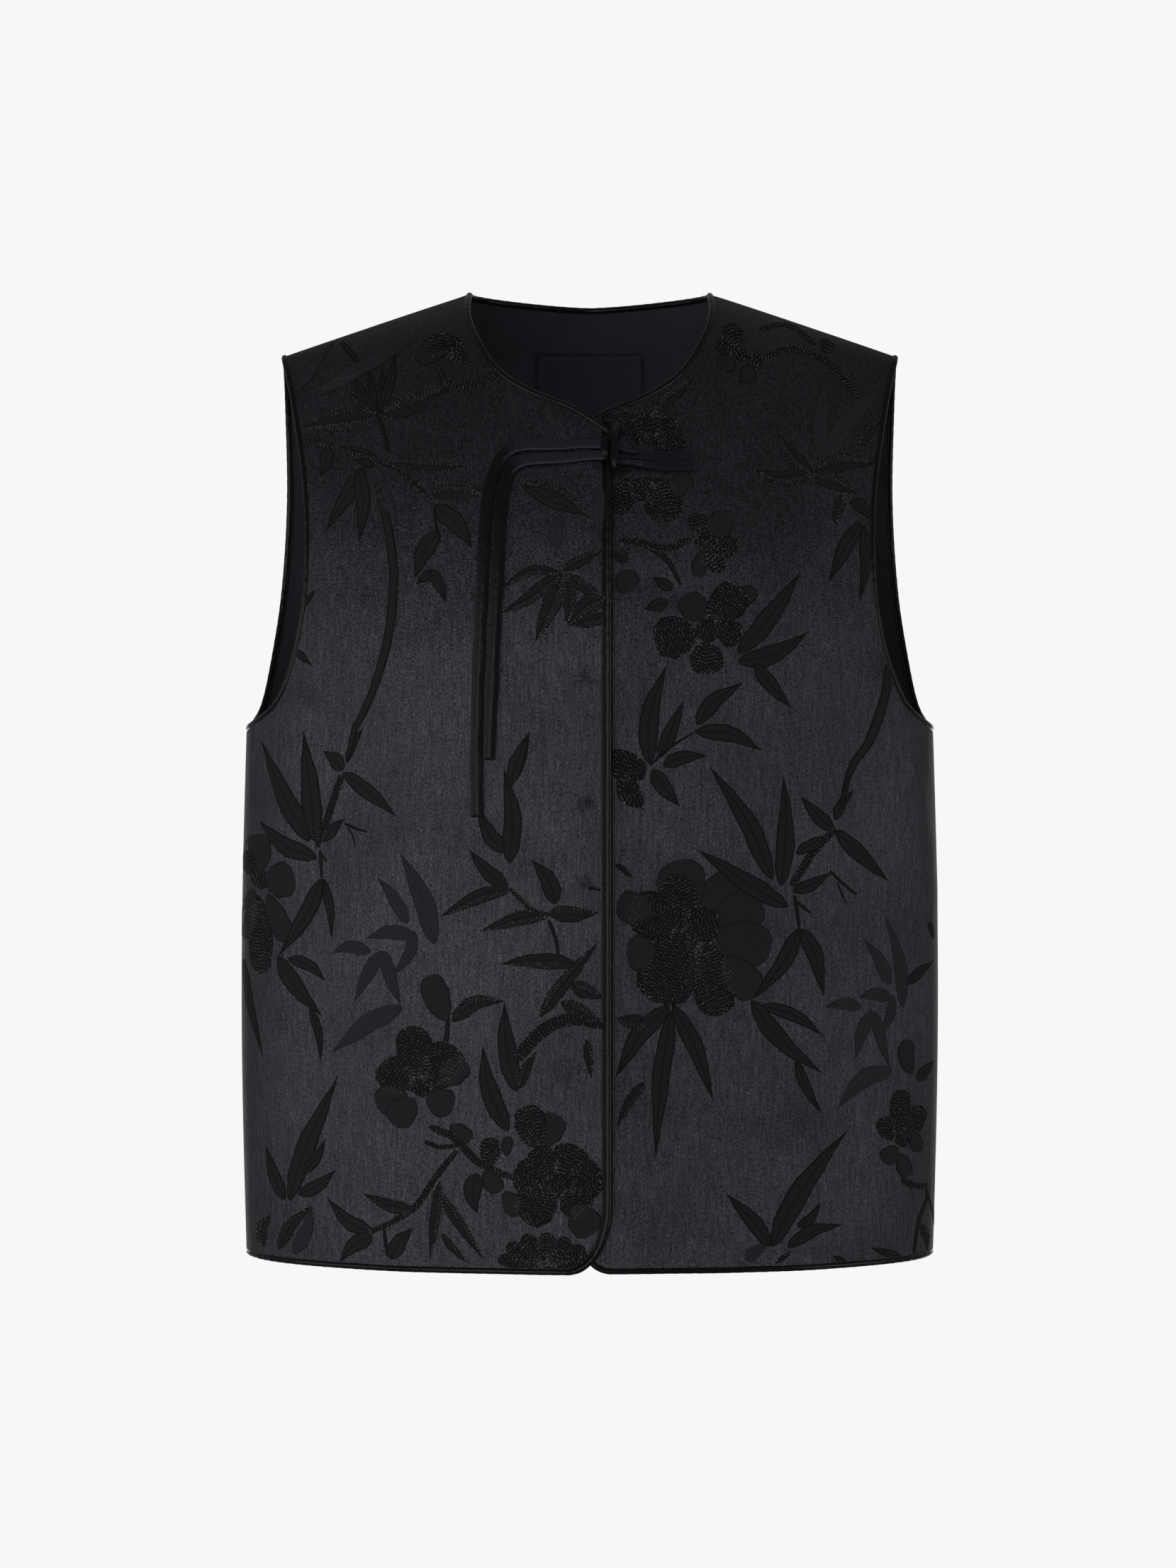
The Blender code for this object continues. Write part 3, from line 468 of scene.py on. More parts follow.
            (5.2, 198, -565, 204, -573, 205, -583), (3.1, 109, -582, 119, -575),
        ),
        "petal": (
            (16.3, 48, -119, 59, -125), (16.2, 69, -153, 82, -142), (8.9, 65, -163, 64, -178),
            (15.4, 17, -175, 26, -185), (12.2, 74, -200, 98, -185), (17, 65, -204, 57, -188),
            (12.4, 86, -44, 78, -51), (10.3, 93, -49, 96, -60), (29.1, 61, -375, 49, -345),
            (21.3, 68, -375, 84, -354), (25.2, 72, -383, 101, -369), (27.2, 74, -388, 106, -398),
            (21.4, 78, -402, 98, -424), (19.4, 37, -375, 16, -370), (21.3, 39, -398, 22, -399),
            (10.7, 194, -474, 190, -464, 191, -453), (11.9, 184, -517, 176, -526),
            (11.9, 192, -518, 201, -515), (9.9, 186, -521, 191, -536),
        ),
        "rich": (
            (22.4, 39, -97, 55, -91), (18.3, 37, -94, 35, -78), (16.3, 32, -95, 17, -91),
            (22.3, 40, -119, 46, -145), (18.3, 36, -119, 28, -132), (14.2, 22, -119, 17, -141),
            (18.3, 67, -157, 78, -169), (12.2, 66, -152, 62, -140), (13.4, 73, -158, 87, -161),
            (10.1, 69, -163, 78, -175), (25.3, 63, -211, 38, -215), (20.2, 68, -216, 69, -235),
            (22.3, 71, -205, 89, -184), (16.2, 74, -209, 89, -213), (12.4, 88, -41, 77, -34),
            (12.4, 94, -44, 102, -49), (12.4, 90, -37, 84, -22), (9.6, 142, -38, 146, -29),
            (24.2, 17, -298, 26, -282), (22.2, 17, -308, 29, -301), (12.2, 32, -96, 46, -96),
            (12.2, 62, -157, 74, -157), (14.2, 61, -210, 76, -209), (8.3, 86, -42, 94, -42),
            (21.3, 61, -375, 45, -355), (29.1, 61, -380, 23, -374), (36.8, 61, -384, 37, -427),
            (25.2, 67, -390, 76, -436), (13.9, 185, -512, 187, -483), (13.9, 191, -513, 200, -494),
            (11.1, 181, -513, 174, -499), (21.3, 53, -382, 76, -383), (8.7, 183, -513, 192, -514),
        ),
        "stem": (
            (3.2, 27, -157, 44, -166, 54, -183),
            (5.4, 178, -228, 173, -254, 166, -275, 157, -289, 151, -306),
            (1.4, 35, -289, 49, -277, 62, -269), (2.7, 149, -315, 153, -302, 156, -293),
            (2, 142, -351, 151, -359, 160, -366), (1.2, 147, -358, 150, -365, 153, -371),
            (2.3, 120, -365, 123, -385), (1.8, 121, -369, 130, -376),
            (2.4, 202, -541, 205, -550, 199, -562, 195, -584), (2.0, 205, -550, 209, -559, 211, -570),
        ),
        "branch": (
            (4.5, 17, -156, 27, -157, 45, -161, 60, -155),
            (3.7, 102, -44, 120, -37, 141, -42, 153, -54, 162, -67),
            (3.3, 103, -24, 121, -20, 137, -33), (4.7, 118, -360, 131, -341, 146, -326),
            (4, 187, -537, 196, -542, 205, -543),
        ),
    },
}

# The spray under the back's nape, in millimetres: least and greatest x and z of the part of the left
# front's pattern that it repeats, and how far that moves
BACK_SPRAY = {"x": (60, 175), "z": (-440, -250), "move": (-118, 300)}


# Form of the cloth


def smooth_step(t):
    """0 below 0, 1 above 1, and 3t^2 - 2t^3 between."""
    t = np.clip(t, 0.0, 1.0)
    return t * t * (3.0 - 2.0 * t)


def ridge_height(x):
    """Height of the shoulder line over x: a slope that rounds over in the middle of the neck."""
    at_neck = math.hypot(NECK_HALF, SHOULDER_ROUNDING)
    return SHOULDER_SLOPE * (at_neck - np.sqrt(x * x + SHOULDER_ROUNDING**2))


def half_width(z):
    """Half the width at height z: straight sides that swell by half a sine wave between arm and hem."""
    along = np.clip((z - HEM_Z) / (UNDERARM_Z - HEM_Z), 0.0, 1.0)
    return CHEST_HALF + SIDE_SWELL * np.sin(math.pi * along)


def rise(side, x, z):
    """1 - (1 - t)^power, where t is the drop below the shoulder line over the length it rises in."""
    t = np.clip((ridge_height(x) - z) / RISE_LENGTH[side], 0.0, 1.0)
    return 1.0 - (1.0 - t) ** RISE_POWER


def shape(side, x, y, z):
    """(y / depth)^2 less the rise times the plan ellipse: zero on the outer face, growing outwards."""
    return (y / DEPTH[side]) ** 2 - rise(side, x, z) * (1.0 - (x / half_width(z)) ** 2)


def bare_point(side, x, z):
    """Point of the smooth outer face over (x, z)."""
    plan = np.clip(1.0 - (x / half_width(z)) ** 2, 0.0, None)
    return np.stack([x, side * DEPTH[side] * np.sqrt(rise(side, x, z) * plan), z], axis=-1)


def outward(side, points):
    """Unit normals of the outer face: the slope of its shape function, by central differences."""
    slopes = []
    for step in np.eye(3) * SLOPE_STEP:
        ahead, behind = (np.moveaxis(points + way * step, -1, 0) for way in (1, -1))
        slopes.append(shape(side, *ahead) - shape(side, *behind))
    slope = np.stack(slopes, axis=-1)
    return slope / np.linalg.norm(slope, axis=-1, keepdims=True)


def fold_height(rows, points):
    """Sum of bells, exp(-(across / width)^2), along lines, that die away past their ends and at seams.

    The seams themselves lie in a slight dip, another bell.
    """
    x, y, z = points[..., 0], points[..., 1], points[..., 2]
    total = np.zeros_like(x)
    for x0, z0, x1, z1, width, height in rows:
        length = math.hypot(x1 - x0, z1 - z0)
        along = ((x - x0) * (x1 - x0) + (z - z0) * (z1 - z0)) / length
        across = ((x - x0) * (z1 - z0) - (z - z0) * (x1 - x0)) / length
        past = np.maximum(np.maximum(-along, along - length), 0.0)
        total += height * np.exp(-(across / width) ** 2 - (past / (FOLD_END * width)) ** 2)
    return total * smooth_step(np.abs(y) / FOLD_SEAM_FADE) - SEAM_DIP * np.exp(-(y / SEAM_WIDTH) ** 2)


def lap_height(panel, x):
    """The over front stands out near the middle, and the under front sinks in."""
    lift = {"front_right": LAP_RISE, "front_left": -LAP_RISE, "back": 0.0}[panel]
    return lift * smooth_step((LAP_REACH - np.abs(x)) / (LAP_REACH - LAP_FULL))


def cloth(panel, x, z, lift=0.0):
    """Points of a panel's outer face over (x, z), moved out along their normals by lift, and the normals."""
    side = BACK if panel == "back" else FRONT
    x, z = np.broadcast_arrays(np.asarray(x, float), np.asarray(z, float))
    points = bare_point(side, x, z)
    normals = outward(side, points)
    height = fold_height(FOLDS[panel] + CREASES[panel], points) + lap_height(panel, x) + lift
    return points + normals * height[..., None], normals


def runs(points):
    """Length along a polyline at each of its points."""
    steps = np.linalg.norm(np.diff(points, axis=0), axis=-1)
    return np.concatenate([[0.0], np.cumsum(steps)])


def flattened(wave, power):
    """A sine or cosine raised to a power below 1, with its sign kept, which squares a round section off."""
    return np.sign(wave) * np.abs(wave) ** power


def waves(run, rows):
    """Sum of sine waves along a run: each row gives the turn a metre, the start and the height."""
    return sum(height * np.sin(run * rate + start) for rate, start, height in rows)


def read_at(line, at, wanted):
    """A polyline read at the wanted places, where at is the place of each of its points."""
    return np.stack([np.interp(wanted, at, line[:, k]) for k in range(line.shape[1])], axis=-1)


def evenly(line, count):
    """A polyline read at count points that are equal steps apart."""
    at = runs(line)
    return read_at(line, at, np.linspace(0.0, at[-1], count))


def spline(corners):
    """A smooth curve through the corners (Catmull-Rom cubics), as a dense polyline."""
    corners = np.asarray(corners, float)
    ends = np.concatenate([[2 * corners[0] - corners[1]], corners, [2 * corners[-1] - corners[-2]]])
    t = np.linspace(0.0, 1.0, SPLINE_STEPS, endpoint=False)[None, :, None]
    before, start, stop, after = (ends[k : len(ends) - 3 + k, None] for k in range(4))
    cubic = (3 * start - before - 3 * stop + after) * t**3
    square = (2 * before - 5 * start + 4 * stop - after) * t**2
    spans = 0.5 * (2 * start + (stop - before) * t + square + cubic)
    return np.concatenate([spans.reshape(-1, corners.shape[1]), corners[-1:]])


def on_cloth(side, line, count):
    """A dense line of (x, z) read at count cells that are equally long on the cloth."""
    at = runs(bare_point(side, line[:, 0], line[:, 1]))
    return read_at(line, at, np.linspace(0.0, at[-1], count + 1))


def armhole_edge(side, count):
    """(x, z) along a panel's armhole edge, from the underarm up to the shoulder."""
    column = 1 if side == FRONT else 2
    tip = (SHOULDER_HALF, float(ridge_height(SHOULDER_HALF)))
    corners = [tip, *((row[column], row[0]) for row in ARMHOLE), (CHEST_HALF, UNDERARM_Z)]
    line = spline(corners[::-1])
    line[:, 0] = np.minimum(line[:, 0], half_width(line[:, 1]))
    return on_cloth(side, line, count)


def neck_edge(count):
    """(x, z) along a front's neck edge, from the lap's corner up to the shoulder."""
    line = spline(NECK_EDGE)
    line[-1, 1] = ridge_height(line[-1, 0])
    return on_cloth(FRONT, line, count)


def angle_of(x, z):
    """Angle round the plan ellipse of a point at x."""
    return np.arcsin(np.clip(x / half_width(z), -1.0, 1.0))


def front_row(inner, outer, top_share, fractions):
    """(x, z) along one row of a front, from its middle edge to its side or armhole edge.

    Rows are level below the arm, and run along the shoulder line at the top; top_share blends the two.
    """
    start, stop = angle_of(*inner), angle_of(*outer)
    drops = ridge_height(inner[0]) - inner[1], ridge_height(outer[0]) - outer[1]

    def at(angle):
        """(x, z) at an angle round the plan ellipse."""
        share = (angle - start) / (stop - start)
        level = inner[1] + (outer[1] - inner[1]) * share
        x = half_width(level) * np.sin(angle)
        sloped = ridge_height(x) - (drops[0] + (drops[1] - drops[0]) * share)
        return x, (1 - top_share) * level + top_share * sloped

    dense = np.linspace(start, stop, FINE_STEPS)
    run = runs(bare_point(FRONT, *at(dense)))
    return at(np.interp(fractions, run / run[-1], dense))


def front_edges():
    """(x, z) of a left front's middle edge and of its side edge, a point for each row of its grid."""
    turn = np.linspace(0.0, math.pi / 2, CORNER_ROWS + 1)
    corner_x = -LAP_HALF + CORNER_WIDTH * (1 - np.sin(turn))
    corner = np.stack([corner_x, HEM_Z + CORNER_HEIGHT * (1 - np.cos(turn))], axis=-1)
    low = np.linspace(corner[-1], (-LAP_HALF, UNDERARM_Z), SIDE_ROWS + 1)[1:]
    chest = np.linspace(low[-1], NECK_EDGE[0], CHEST_ROWS + 1)[1:]
    inner = np.concatenate([corner, low, chest, neck_edge(NECK_ROWS)[1:]])
    below_arm = inner[: CORNER_ROWS + SIDE_ROWS, 1]
    side_seam = np.stack([half_width(below_arm), below_arm], axis=-1)
    return inner, np.concatenate([side_seam, armhole_edge(FRONT, CHEST_ROWS + NECK_ROWS)])


def front_grid():
    """x and z of a left front's points, rows from hem to shoulder, columns from lap to side."""
    inner, outer = front_edges()
    fractions = np.linspace(0.0, 1.0, FRONT_COLUMNS + 1)
    index = np.arange(len(inner)) - CORNER_ROWS - SIDE_ROWS
    shares = smooth_step(index / (CHEST_ROWS + NECK_ROWS))
    rows = [front_row(*edges, fractions) for edges in zip(inner, outer, shares)]
    x, z = (np.array(values) for values in zip(*rows))
    z[-1] = ridge_height(x[-1])
    return x, z


def back_top(x):
    """Height of the back's top edge over x: the shoulder lines, and a shallow dip between them."""
    share = np.abs(x) / NECK_HALF
    dip = -NAPE_BELOW_ORIGIN * (1.0 - np.minimum(share, 1.0) ** NAPE_POWER)
    return np.where(share < 1.0, dip, ridge_height(x))


def back_edge():
    """(x, z) along the back's outer edge, from the hem up to the shoulder, a point for each row."""
    level = np.linspace(HEM_Z, UNDERARM_Z, BACK_SIDE_ROWS + 1)
    side_seam = np.stack([half_width(level), level], axis=-1)
    return np.concatenate([side_seam, armhole_edge(BACK, BACK_ARMHOLE_ROWS)[1:]])


def back_grid():
    """x and z of the back's points, rows from hem to neck and shoulders, columns from right to left."""
    outer = back_edge()
    nape = float(back_top(0.0))
    below_arm = outer[: BACK_SIDE_ROWS + 1, 1]
    middle = np.concatenate([below_arm, np.linspace(UNDERARM_Z, nape, BACK_ARMHOLE_ROWS + 1)[1:]])

    def row_at(index, angle):
        """(x, z) at an angle round the plan: level below the arm, along the top edge at the top."""
        x_out, z_out = outer[index]
        share = np.abs(angle) / angle_of(x_out, z_out)
        flat = middle[index] + (z_out - middle[index]) * share
        x = half_width(flat) * np.sin(angle)
        drops = nape - middle[index], ridge_height(x_out) - z_out
        sloped = back_top(x) - (drops[0] + (drops[1] - drops[0]) * share)
        top_share = smooth_step((index - BACK_SIDE_ROWS) / BACK_ARMHOLE_ROWS)
        return x, (1 - top_share) * flat + top_share * sloped

    def run_along(index):
        """Angles along half a row, and the share of its length at each."""
        dense = np.linspace(0.0, angle_of(*outer[index]), FINE_STEPS)
        run = runs(bare_point(BACK, *row_at(index, dense)))
        return dense, run / run[-1]

    dense, run = run_along(len(outer) - 1)
    neck_share = float(np.interp(angle_of(NECK_HALF, 0.0), dense, run))
    to_neck = np.linspace(0.0, neck_share, BACK_NECK_COLUMNS + 1)
    half = np.concatenate([to_neck, np.linspace(neck_share, 1.0, BACK_SHOULDER_COLUMNS + 1)[1:]])
    fractions = np.concatenate([-half[:0:-1], half])
    rows = []
    for index in range(len(outer)):
        dense, run = run_along(index)
        angle = np.sign(fractions) * np.interp(np.abs(fractions), run, dense)
        rows.append(row_at(index, angle))
    x, z = (np.array(values) for values in zip(*rows))
    return x, z


def up_to_seam(points, side):
    """Keeps points on their own side of the plane y = 0, where the panels meet at the seams."""
    moved = points.copy()
    keep = np.maximum if side == BACK else np.minimum
    moved[..., 1] = keep(points[..., 1], 0.0)
    return moved


# Meshes


def grid_faces(rows, columns, wrap=False):
    """Four-cornered faces between the points of a grid, counted row by row; wrap closes each row."""
    index = np.arange(rows * columns).reshape(rows, columns)
    if wrap:
        index = np.concatenate([index, index[:, :1]], axis=1)
    corners = index[:-1, :-1], index[:-1, 1:], index[1:, 1:], index[1:, :-1]
    return np.stack(corners, axis=-1).reshape(-1, 4)


def slab(outer, inner):
    """Points and faces of a closed wall between two grids: both skins, and a rim that joins them."""
    index = np.arange(outer.shape[0] * outer.shape[1]).reshape(outer.shape[:2])
    rim = np.concatenate([index[0, :-1], index[:-1, -1], index[-1, :0:-1], index[:0:-1, 0]])
    onward = np.roll(rim, -1)
    skin = grid_faces(*outer.shape[:2])
    edge = np.stack([rim, rim + index.size, onward + index.size, onward], axis=-1)
    faces = np.concatenate([skin, skin[:, ::-1] + index.size, edge])
    return np.concatenate([outer.reshape(-1, 3), inner.reshape(-1, 3)]), faces


def joined(parts):
    """One set of points, faces and per-point values from several."""
    counts = np.cumsum([0] + [len(part[0]) for part in parts[:-1]])
    faces = [np.asarray(face) + start for part, start in zip(parts, counts) for face in part[1]]
    return (np.concatenate([part[0] for part in parts]), faces,
            *(np.concatenate(values) for values in list(zip(*parts))[2:]))


def piece(name, slot, points, faces, material, replaces=(), values=None, flat=None):
    """An object that rides on the garment.

    values are per-point numbers that its material reads, and flat is each point's place on the cut cloth.
    """
    mesh = bpy.data.meshes.new(name)
    mesh.from_pydata(points, [], faces)
    for key, numbers in (values or {}).items():
        kind, field = ("FLOAT_VECTOR", "vector") if numbers.ndim == 2 else ("FLOAT", "value")
        mesh.attributes.new(key, kind, "POINT").data.foreach_set(field, numbers.astype(np.float32).ravel())
    if flat is not None:
        corners = np.empty(len(mesh.loops), dtype=np.int32)
        mesh.loops.foreach_get("vertex_index", corners)
        mesh.uv_layers.new(name="weave").data.foreach_set("uv", flat[corners].astype(np.float32).ravel())
    mesh.materials.append(material)
    mesh.shade_smooth()
    mesh.set_sharp_from_angle(angle=SHARP_ANGLE)
    made = bpy.data.objects.new(name, mesh)
    bpy.context.scene.collection.objects.link(made)
    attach(made, "root")
    if replaces:
        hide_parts(*replaces)
    return made


def lengthwise(path):
    """Unit directions along a path."""
    along = np.gradient(path, axis=0)
    return along / np.linalg.norm(along, axis=-1, keepdims=True)


def sweep(path, normals, wide, thick, closed=False):
    """A tube along a path: wide and thick are each ring's offsets across the path and along its normals.

    Every ring stands square to the path. Open ends are closed by drawing in to their middle points.
    """
    if closed:
        before, after = np.roll(path, 1, 0), np.roll(path, -1, 0)
        along = (after - before) / np.linalg.norm(after - before, axis=-1, keepdims=True)
    else:
        along = lengthwise(path)
    across = np.cross(along, normals)
    across /= np.linalg.norm(across, axis=-1, keepdims=True)
    out = np.cross(across, along)
    rings = path[:, None] + across[:, None] * wide[..., None] + out[:, None] * thick[..., None]
    count, sides = rings.shape[:2]
    points = rings.reshape(-1, 3)
    faces = grid_faces(count, sides, wrap=True)
    run = np.repeat(runs(path), sides)
    around = np.tile(np.linspace(0.0, 1.0, sides, endpoint=False), count)
    if closed:
        last, first = np.arange(sides) + (count - 1) * sides, np.arange(sides)
        join = np.stack([last, np.roll(last, -1), np.roll(first, -1), first], axis=-1)
        faces = np.concatenate([faces, join])
    return points, faces, np.stack([around, run, np.zeros_like(run)], axis=-1)


def with_ends(points, faces, weave, sides):
    """Closes a tube's two ends with a point in the middle of each, as three-cornered fans."""
    ends = points[:sides].mean(axis=0), points[-sides:].mean(axis=0)
    count = len(points)
    first, last = np.arange(sides), np.arange(count - sides, count)
    fans = [np.stack([np.roll(first, -1), first, np.full(sides, count)], axis=-1),
            np.stack([last, np.roll(last, -1), np.full(sides, count + 1)], axis=-1)]
    all_faces = [*faces.tolist(), *np.concatenate(fans).tolist()]
    marks = np.concatenate([weave, weave[:1], weave[-1:]])
    return np.concatenate([points, ends]), all_faces, marks


# Materials


def shader(name, **sockets):
    """A material with a Principled shader whose sockets are set by name, underscores for spaces."""
    made = bpy.data.materials.new(name)
    made.use_nodes = True
    principled = made.node_tree.nodes["Principled BSDF"]
    for key, value in sockets.items():
        principled.inputs[key.replace("_", " ")].default_value = value
    return made, made.node_tree, principled


def add(tree, kind, inputs, output=0, **settings):
    """Adds a node, sets or joins its inputs, and returns one output."""
    node = tree.nodes.new(kind)
    for key, value in settings.items():
        setattr(node, key, value)
    for key, value in inputs.items():
        if isinstance(value, bpy.types.NodeSocket):
            tree.links.new(value, node.inputs[key])
        else:
            node.inputs[key].default_value = value
    return node.outputs[output]


def stretched_noise(tree, size, detail=2.0):
    """Noise whose grains are size millimetres along each axis."""
    where = add(tree, "ShaderNodeTexCoord", {}, "Object")
    stretched = add(tree, "ShaderNodeMapping", {"Vector": where, "Scale": [1000.0 / step for step in size]})
    return add(tree, "ShaderNodeTexNoise", {"Vector": stretched, "Scale": 1.0, "Detail": detail}, "Fac")


def stored_parts(tree, name):
    """The three numbers that a piece stores at each point under this name."""
    stored = add(tree, "ShaderNodeAttribute", {}, "Vector", attribute_name=name)
    parts = tree.nodes.new("ShaderNodeSeparateXYZ")
    tree.links.new(stored, parts.inputs[0])
    return parts.outputs


def opaque(colour, share=1.0):
    """A colour times a share, as the four numbers of a colour socket."""
    return (*(share * part for part in colour), 1.0)


def mix_colour(tree, share, first, second):
    """A blend of two colours."""
    node = tree.nodes.new("ShaderNodeMix")
    node.data_type = "RGBA"
    for socket, value in zip((node.inputs[0], node.inputs[6], node.inputs[7]), (share, first, second)):
        if isinstance(value, bpy.types.NodeSocket):
            tree.links.new(value, socket)
        else:
            socket.default_value = value
    return node.outputs[2]


def ramp(tree, value, low, high, to_low=0.0, to_high=1.0):
    """A value's range mapped onto another, held at its ends."""
    inputs = {"Value": value, "From Min": low, "From Max": high, "To Min": to_low, "To Max": to_high}
    return add(tree, "ShaderNodeMapRange", inputs)


def combine(tree, operation, *values):
    """Arithmetic on numbers and sockets."""
    return add(tree, "ShaderNodeMath", dict(enumerate(values)), operation=operation)


def weighted(tree, first, first_share, second, second_share):
    """Sum of two numbers, each times its share."""
    terms = (combine(tree, "MULTIPLY", *term) for term in ((first, first_share), (second, second_share)))
    return combine(tree, "ADD", *terms)


def scaled(tree, colour, share):
    """A colour times a number."""
    return add(tree, "ShaderNodeVectorMath", {0: colour, "Scale": share}, operation="SCALE")


def raise_bump(tree, principled, height, distance):
    """Lets a height, in parts of distance, bend the shader's normals."""
    bump = add(tree, "ShaderNodeBump", {"Height": height, "Distance": distance, "Strength": 1.0})
    tree.links.new(bump, principled.inputs["Normal"])


def satin_material(looks):
    """Warp-faced satin with the fine upright crinkle of crepe: three sizes of drawn-out noise, the slowest
    only for patches of painted sheen and shade.

    The shine spreads across the body and little in height, along a tangent that the weave's map gives. The
    colour carries painted shadow beside the lapped edge's piping and painted shade where the lap presses it.
    """
    made, tree, principled = shader(
        "jacquard_satin", Roughness=looks.satin_roughness, Specular_IOR_Level=0.5, Anisotropic=0.8,
        Metallic=0.8,
    )
    level = add(tree, "ShaderNodeTangent", {}, direction_type="UV_MAP", uv_map="weave")
    tree.links.new(level, principled.inputs["Tangent"])
    fine = stretched_noise(tree, (0.65, 0.65, 1.3), 1.0)
    drawn = stretched_noise(tree, (1.6, 1.6, 14.0), 2.0)
    cloud = stretched_noise(tree, (45.0, 45.0, 60.0), 2.0)
    raise_bump(tree, principled, weighted(tree, drawn, 0.8, fine, 0.5), looks.crepe_depth)
    streaks = ramp(tree, drawn, 0.34, 0.66, 0.74, 1.22)
    grain = ramp(tree, fine, 0.32, 0.68, 0.40, 1.60)
    # Painted sheen and shade: slow patches, lighter and darker, that stand in for light on soft folds
    slow = ramp(tree, cloud, 0.35, 0.65, 0.87, 1.12)
    shade = combine(tree, "MULTIPLY", combine(tree, "MULTIPLY", streaks, grain), slow)
    # Painted shade: the colour darkens beside the lap's piping as its shadow would, and at the pressed spots
    past, pressed, _ = stored_parts(tree, "tucked")
    tucked = combine(tree, "MINIMUM", ramp(tree, past, *LAP_SHADOW_UNDER, 1.0, 0.0), ramp(tree, past, *LAP_SHADOW_OVER))
    dark = combine(tree, "MAXIMUM", combine(tree, "MULTIPLY", tucked, LAP_SHADOW_DARKNESS), pressed)
    shade = combine(tree, "MULTIPLY", shade, combine(tree, "SUBTRACT", 1.0, dark))
    colour = scaled(tree, tuple(looks.satin_colour), shade)
    tree.links.new(colour, principled.inputs["Base Color"])
    return made


def figure_material(looks):
    """Woven figure: a fine uneven weft, with a darker outline and midrib, on the ground of its tone.

    The weave's three numbers are the distances to the edge and to the midrib, and the tone from 0 to 1.
    """
    made, tree, principled = shader("woven_figure", Roughness=0.70, Specular_IOR_Level=0.16)
    to_edge, to_rib, tone = stored_parts(tree, "weave")
    grain = stretched_noise(tree, (0.35, 0.35, 0.6), 1.0)
    raise_bump(tree, principled, grain, 0.00012)
    ground, leaf = opaque(looks.ground_colour), opaque(looks.figure_colour)
    plain = mix_colour(tree, ramp(tree, tone, 0.0, 0.5), ground, leaf)
    body = mix_colour(tree, ramp(tree, tone, 0.5, 1.0), plain, opaque(looks.figure_pale))
    edge = ramp(tree, to_edge, 0.0010, 0.0006)
    rib = ramp(tree, to_rib, 0.0006, 0.0003, 0.0, 0.7)
    faint = ramp(tree, tone, 0.5, 1.0, 1.0, 0.3)
    lines = combine(tree, "MULTIPLY", combine(tree, "MAXIMUM", edge, rib), faint)
    colour = mix_colour(tree, lines, body, opaque(looks.outline_colour))
    shaded = scaled(tree, colour, ramp(tree, grain, 0.35, 0.7, 0.62, 1.35))
    tree.links.new(shaded, principled.inputs["Base Color"])
    return made


def stitch_material(looks):
    """Glossy raised thread: its own dark colour, and where a noise says, a pale colour as painted glints."""
    made, tree, principled = shader("bright_thread", Roughness=0.38, Specular_IOR_Level=0.5)
    shade = stretched_noise(tree, (1.5, 1.5, 1.5), 2.0)
    # Painted highlight: pale patches of the thread colour stand in for glints on the dark thread
    dark, pale = opaque(looks.thread_and_glint_colour, 0.08), opaque(looks.thread_and_glint_colour)
    colour = mix_colour(tree, ramp(tree, shade, 0.44, 0.66), dark, pale)
    tree.links.new(colour, principled.inputs["Base Color"])
    return made


def trim_material(name, colour, lit, roughness, specular, sheen, slant):
    """Bias-cut satin on a tube: fine slanting threads from the weave's own coordinates, and slow puckers.

    The weave's third value blends the colour towards lit, a painted sheen where a tie runs level, and on the
    bands also painted highlight at their ends and painted shade in their grooves.
    """
    made, tree, principled = shader(
        name, Roughness=roughness, Specular_IOR_Level=specular, Sheen_Weight=sheen, Sheen_Roughness=0.4,
    )
    around, run, level = stored_parts(tree, "weave")
    phase = combine(tree, "MULTIPLY_ADD", around, slant, combine(tree, "MULTIPLY", run, 9000.0))
    threads = combine(tree, "SINE", phase)
    slow = stretched_noise(tree, (5.0, 5.0, 7.0), 2.0)
    fine = stretched_noise(tree, (0.6, 0.6, 0.9), 2.0)
    height = weighted(tree, slow, 1.4, fine, 0.12)
    raise_bump(tree, principled, combine(tree, "MULTIPLY_ADD", threads, 0.02, height), 0.0003)
    # Painted sheen and shade: the stored share blends the colour towards the lit one
    shade = mix_colour(tree, level, opaque(colour), opaque(lit))
    shaded = scaled(tree, shade, ramp(tree, fine, 0.3, 0.7, 0.7, 1.1))
    tree.links.new(shaded, principled.inputs["Base Color"])
    return made


def lining_material(looks):
    """Plain lining: fine crossed threads and a faint unevenness."""
    made, tree, principled = shader(
        "lining_cloth", Roughness=0.62, Specular_IOR_Level=0.22, Sheen_Weight=0.05,
    )
    up = stretched_noise(tree, (0.25, 0.25, 3.0))
    level = stretched_noise(tree, (3.0, 3.0, 0.25))
    raise_bump(tree, principled, combine(tree, "ADD", up, level), 0.0001)
    cloud = stretched_noise(tree, (18.0, 18.0, 26.0), 3.0)
    share = ramp(tree, combine(tree, "ADD", cloud, combine(tree, "MULTIPLY", up, 0.4)), 0.5, 0.9)
    colour = mix_colour(tree, share, opaque(looks.lining_colour, 0.8), opaque(looks.lining_colour))
    tree.links.new(colour, principled.inputs["Base Color"])
    return made


def label_material(looks):
    """Damask label ground: close level ribs and fine grain, with nothing woven in it."""
    made, tree, principled = shader("label_weave", Roughness=0.5, Specular_IOR_Level=0.3)
    ribs = stretched_noise(tree, (2.0, 2.0, 0.18), 1.0)
    raise_bump(tree, principled, ribs, 0.00012)
    dark, pale = opaque(looks.label_colour, 0.6), opaque(looks.label_colour)
    colour = mix_colour(tree, ramp(tree, ribs, 0.35, 0.65), dark, pale)
    tree.links.new(colour, principled.inputs["Base Color"])
    return made


# Properties


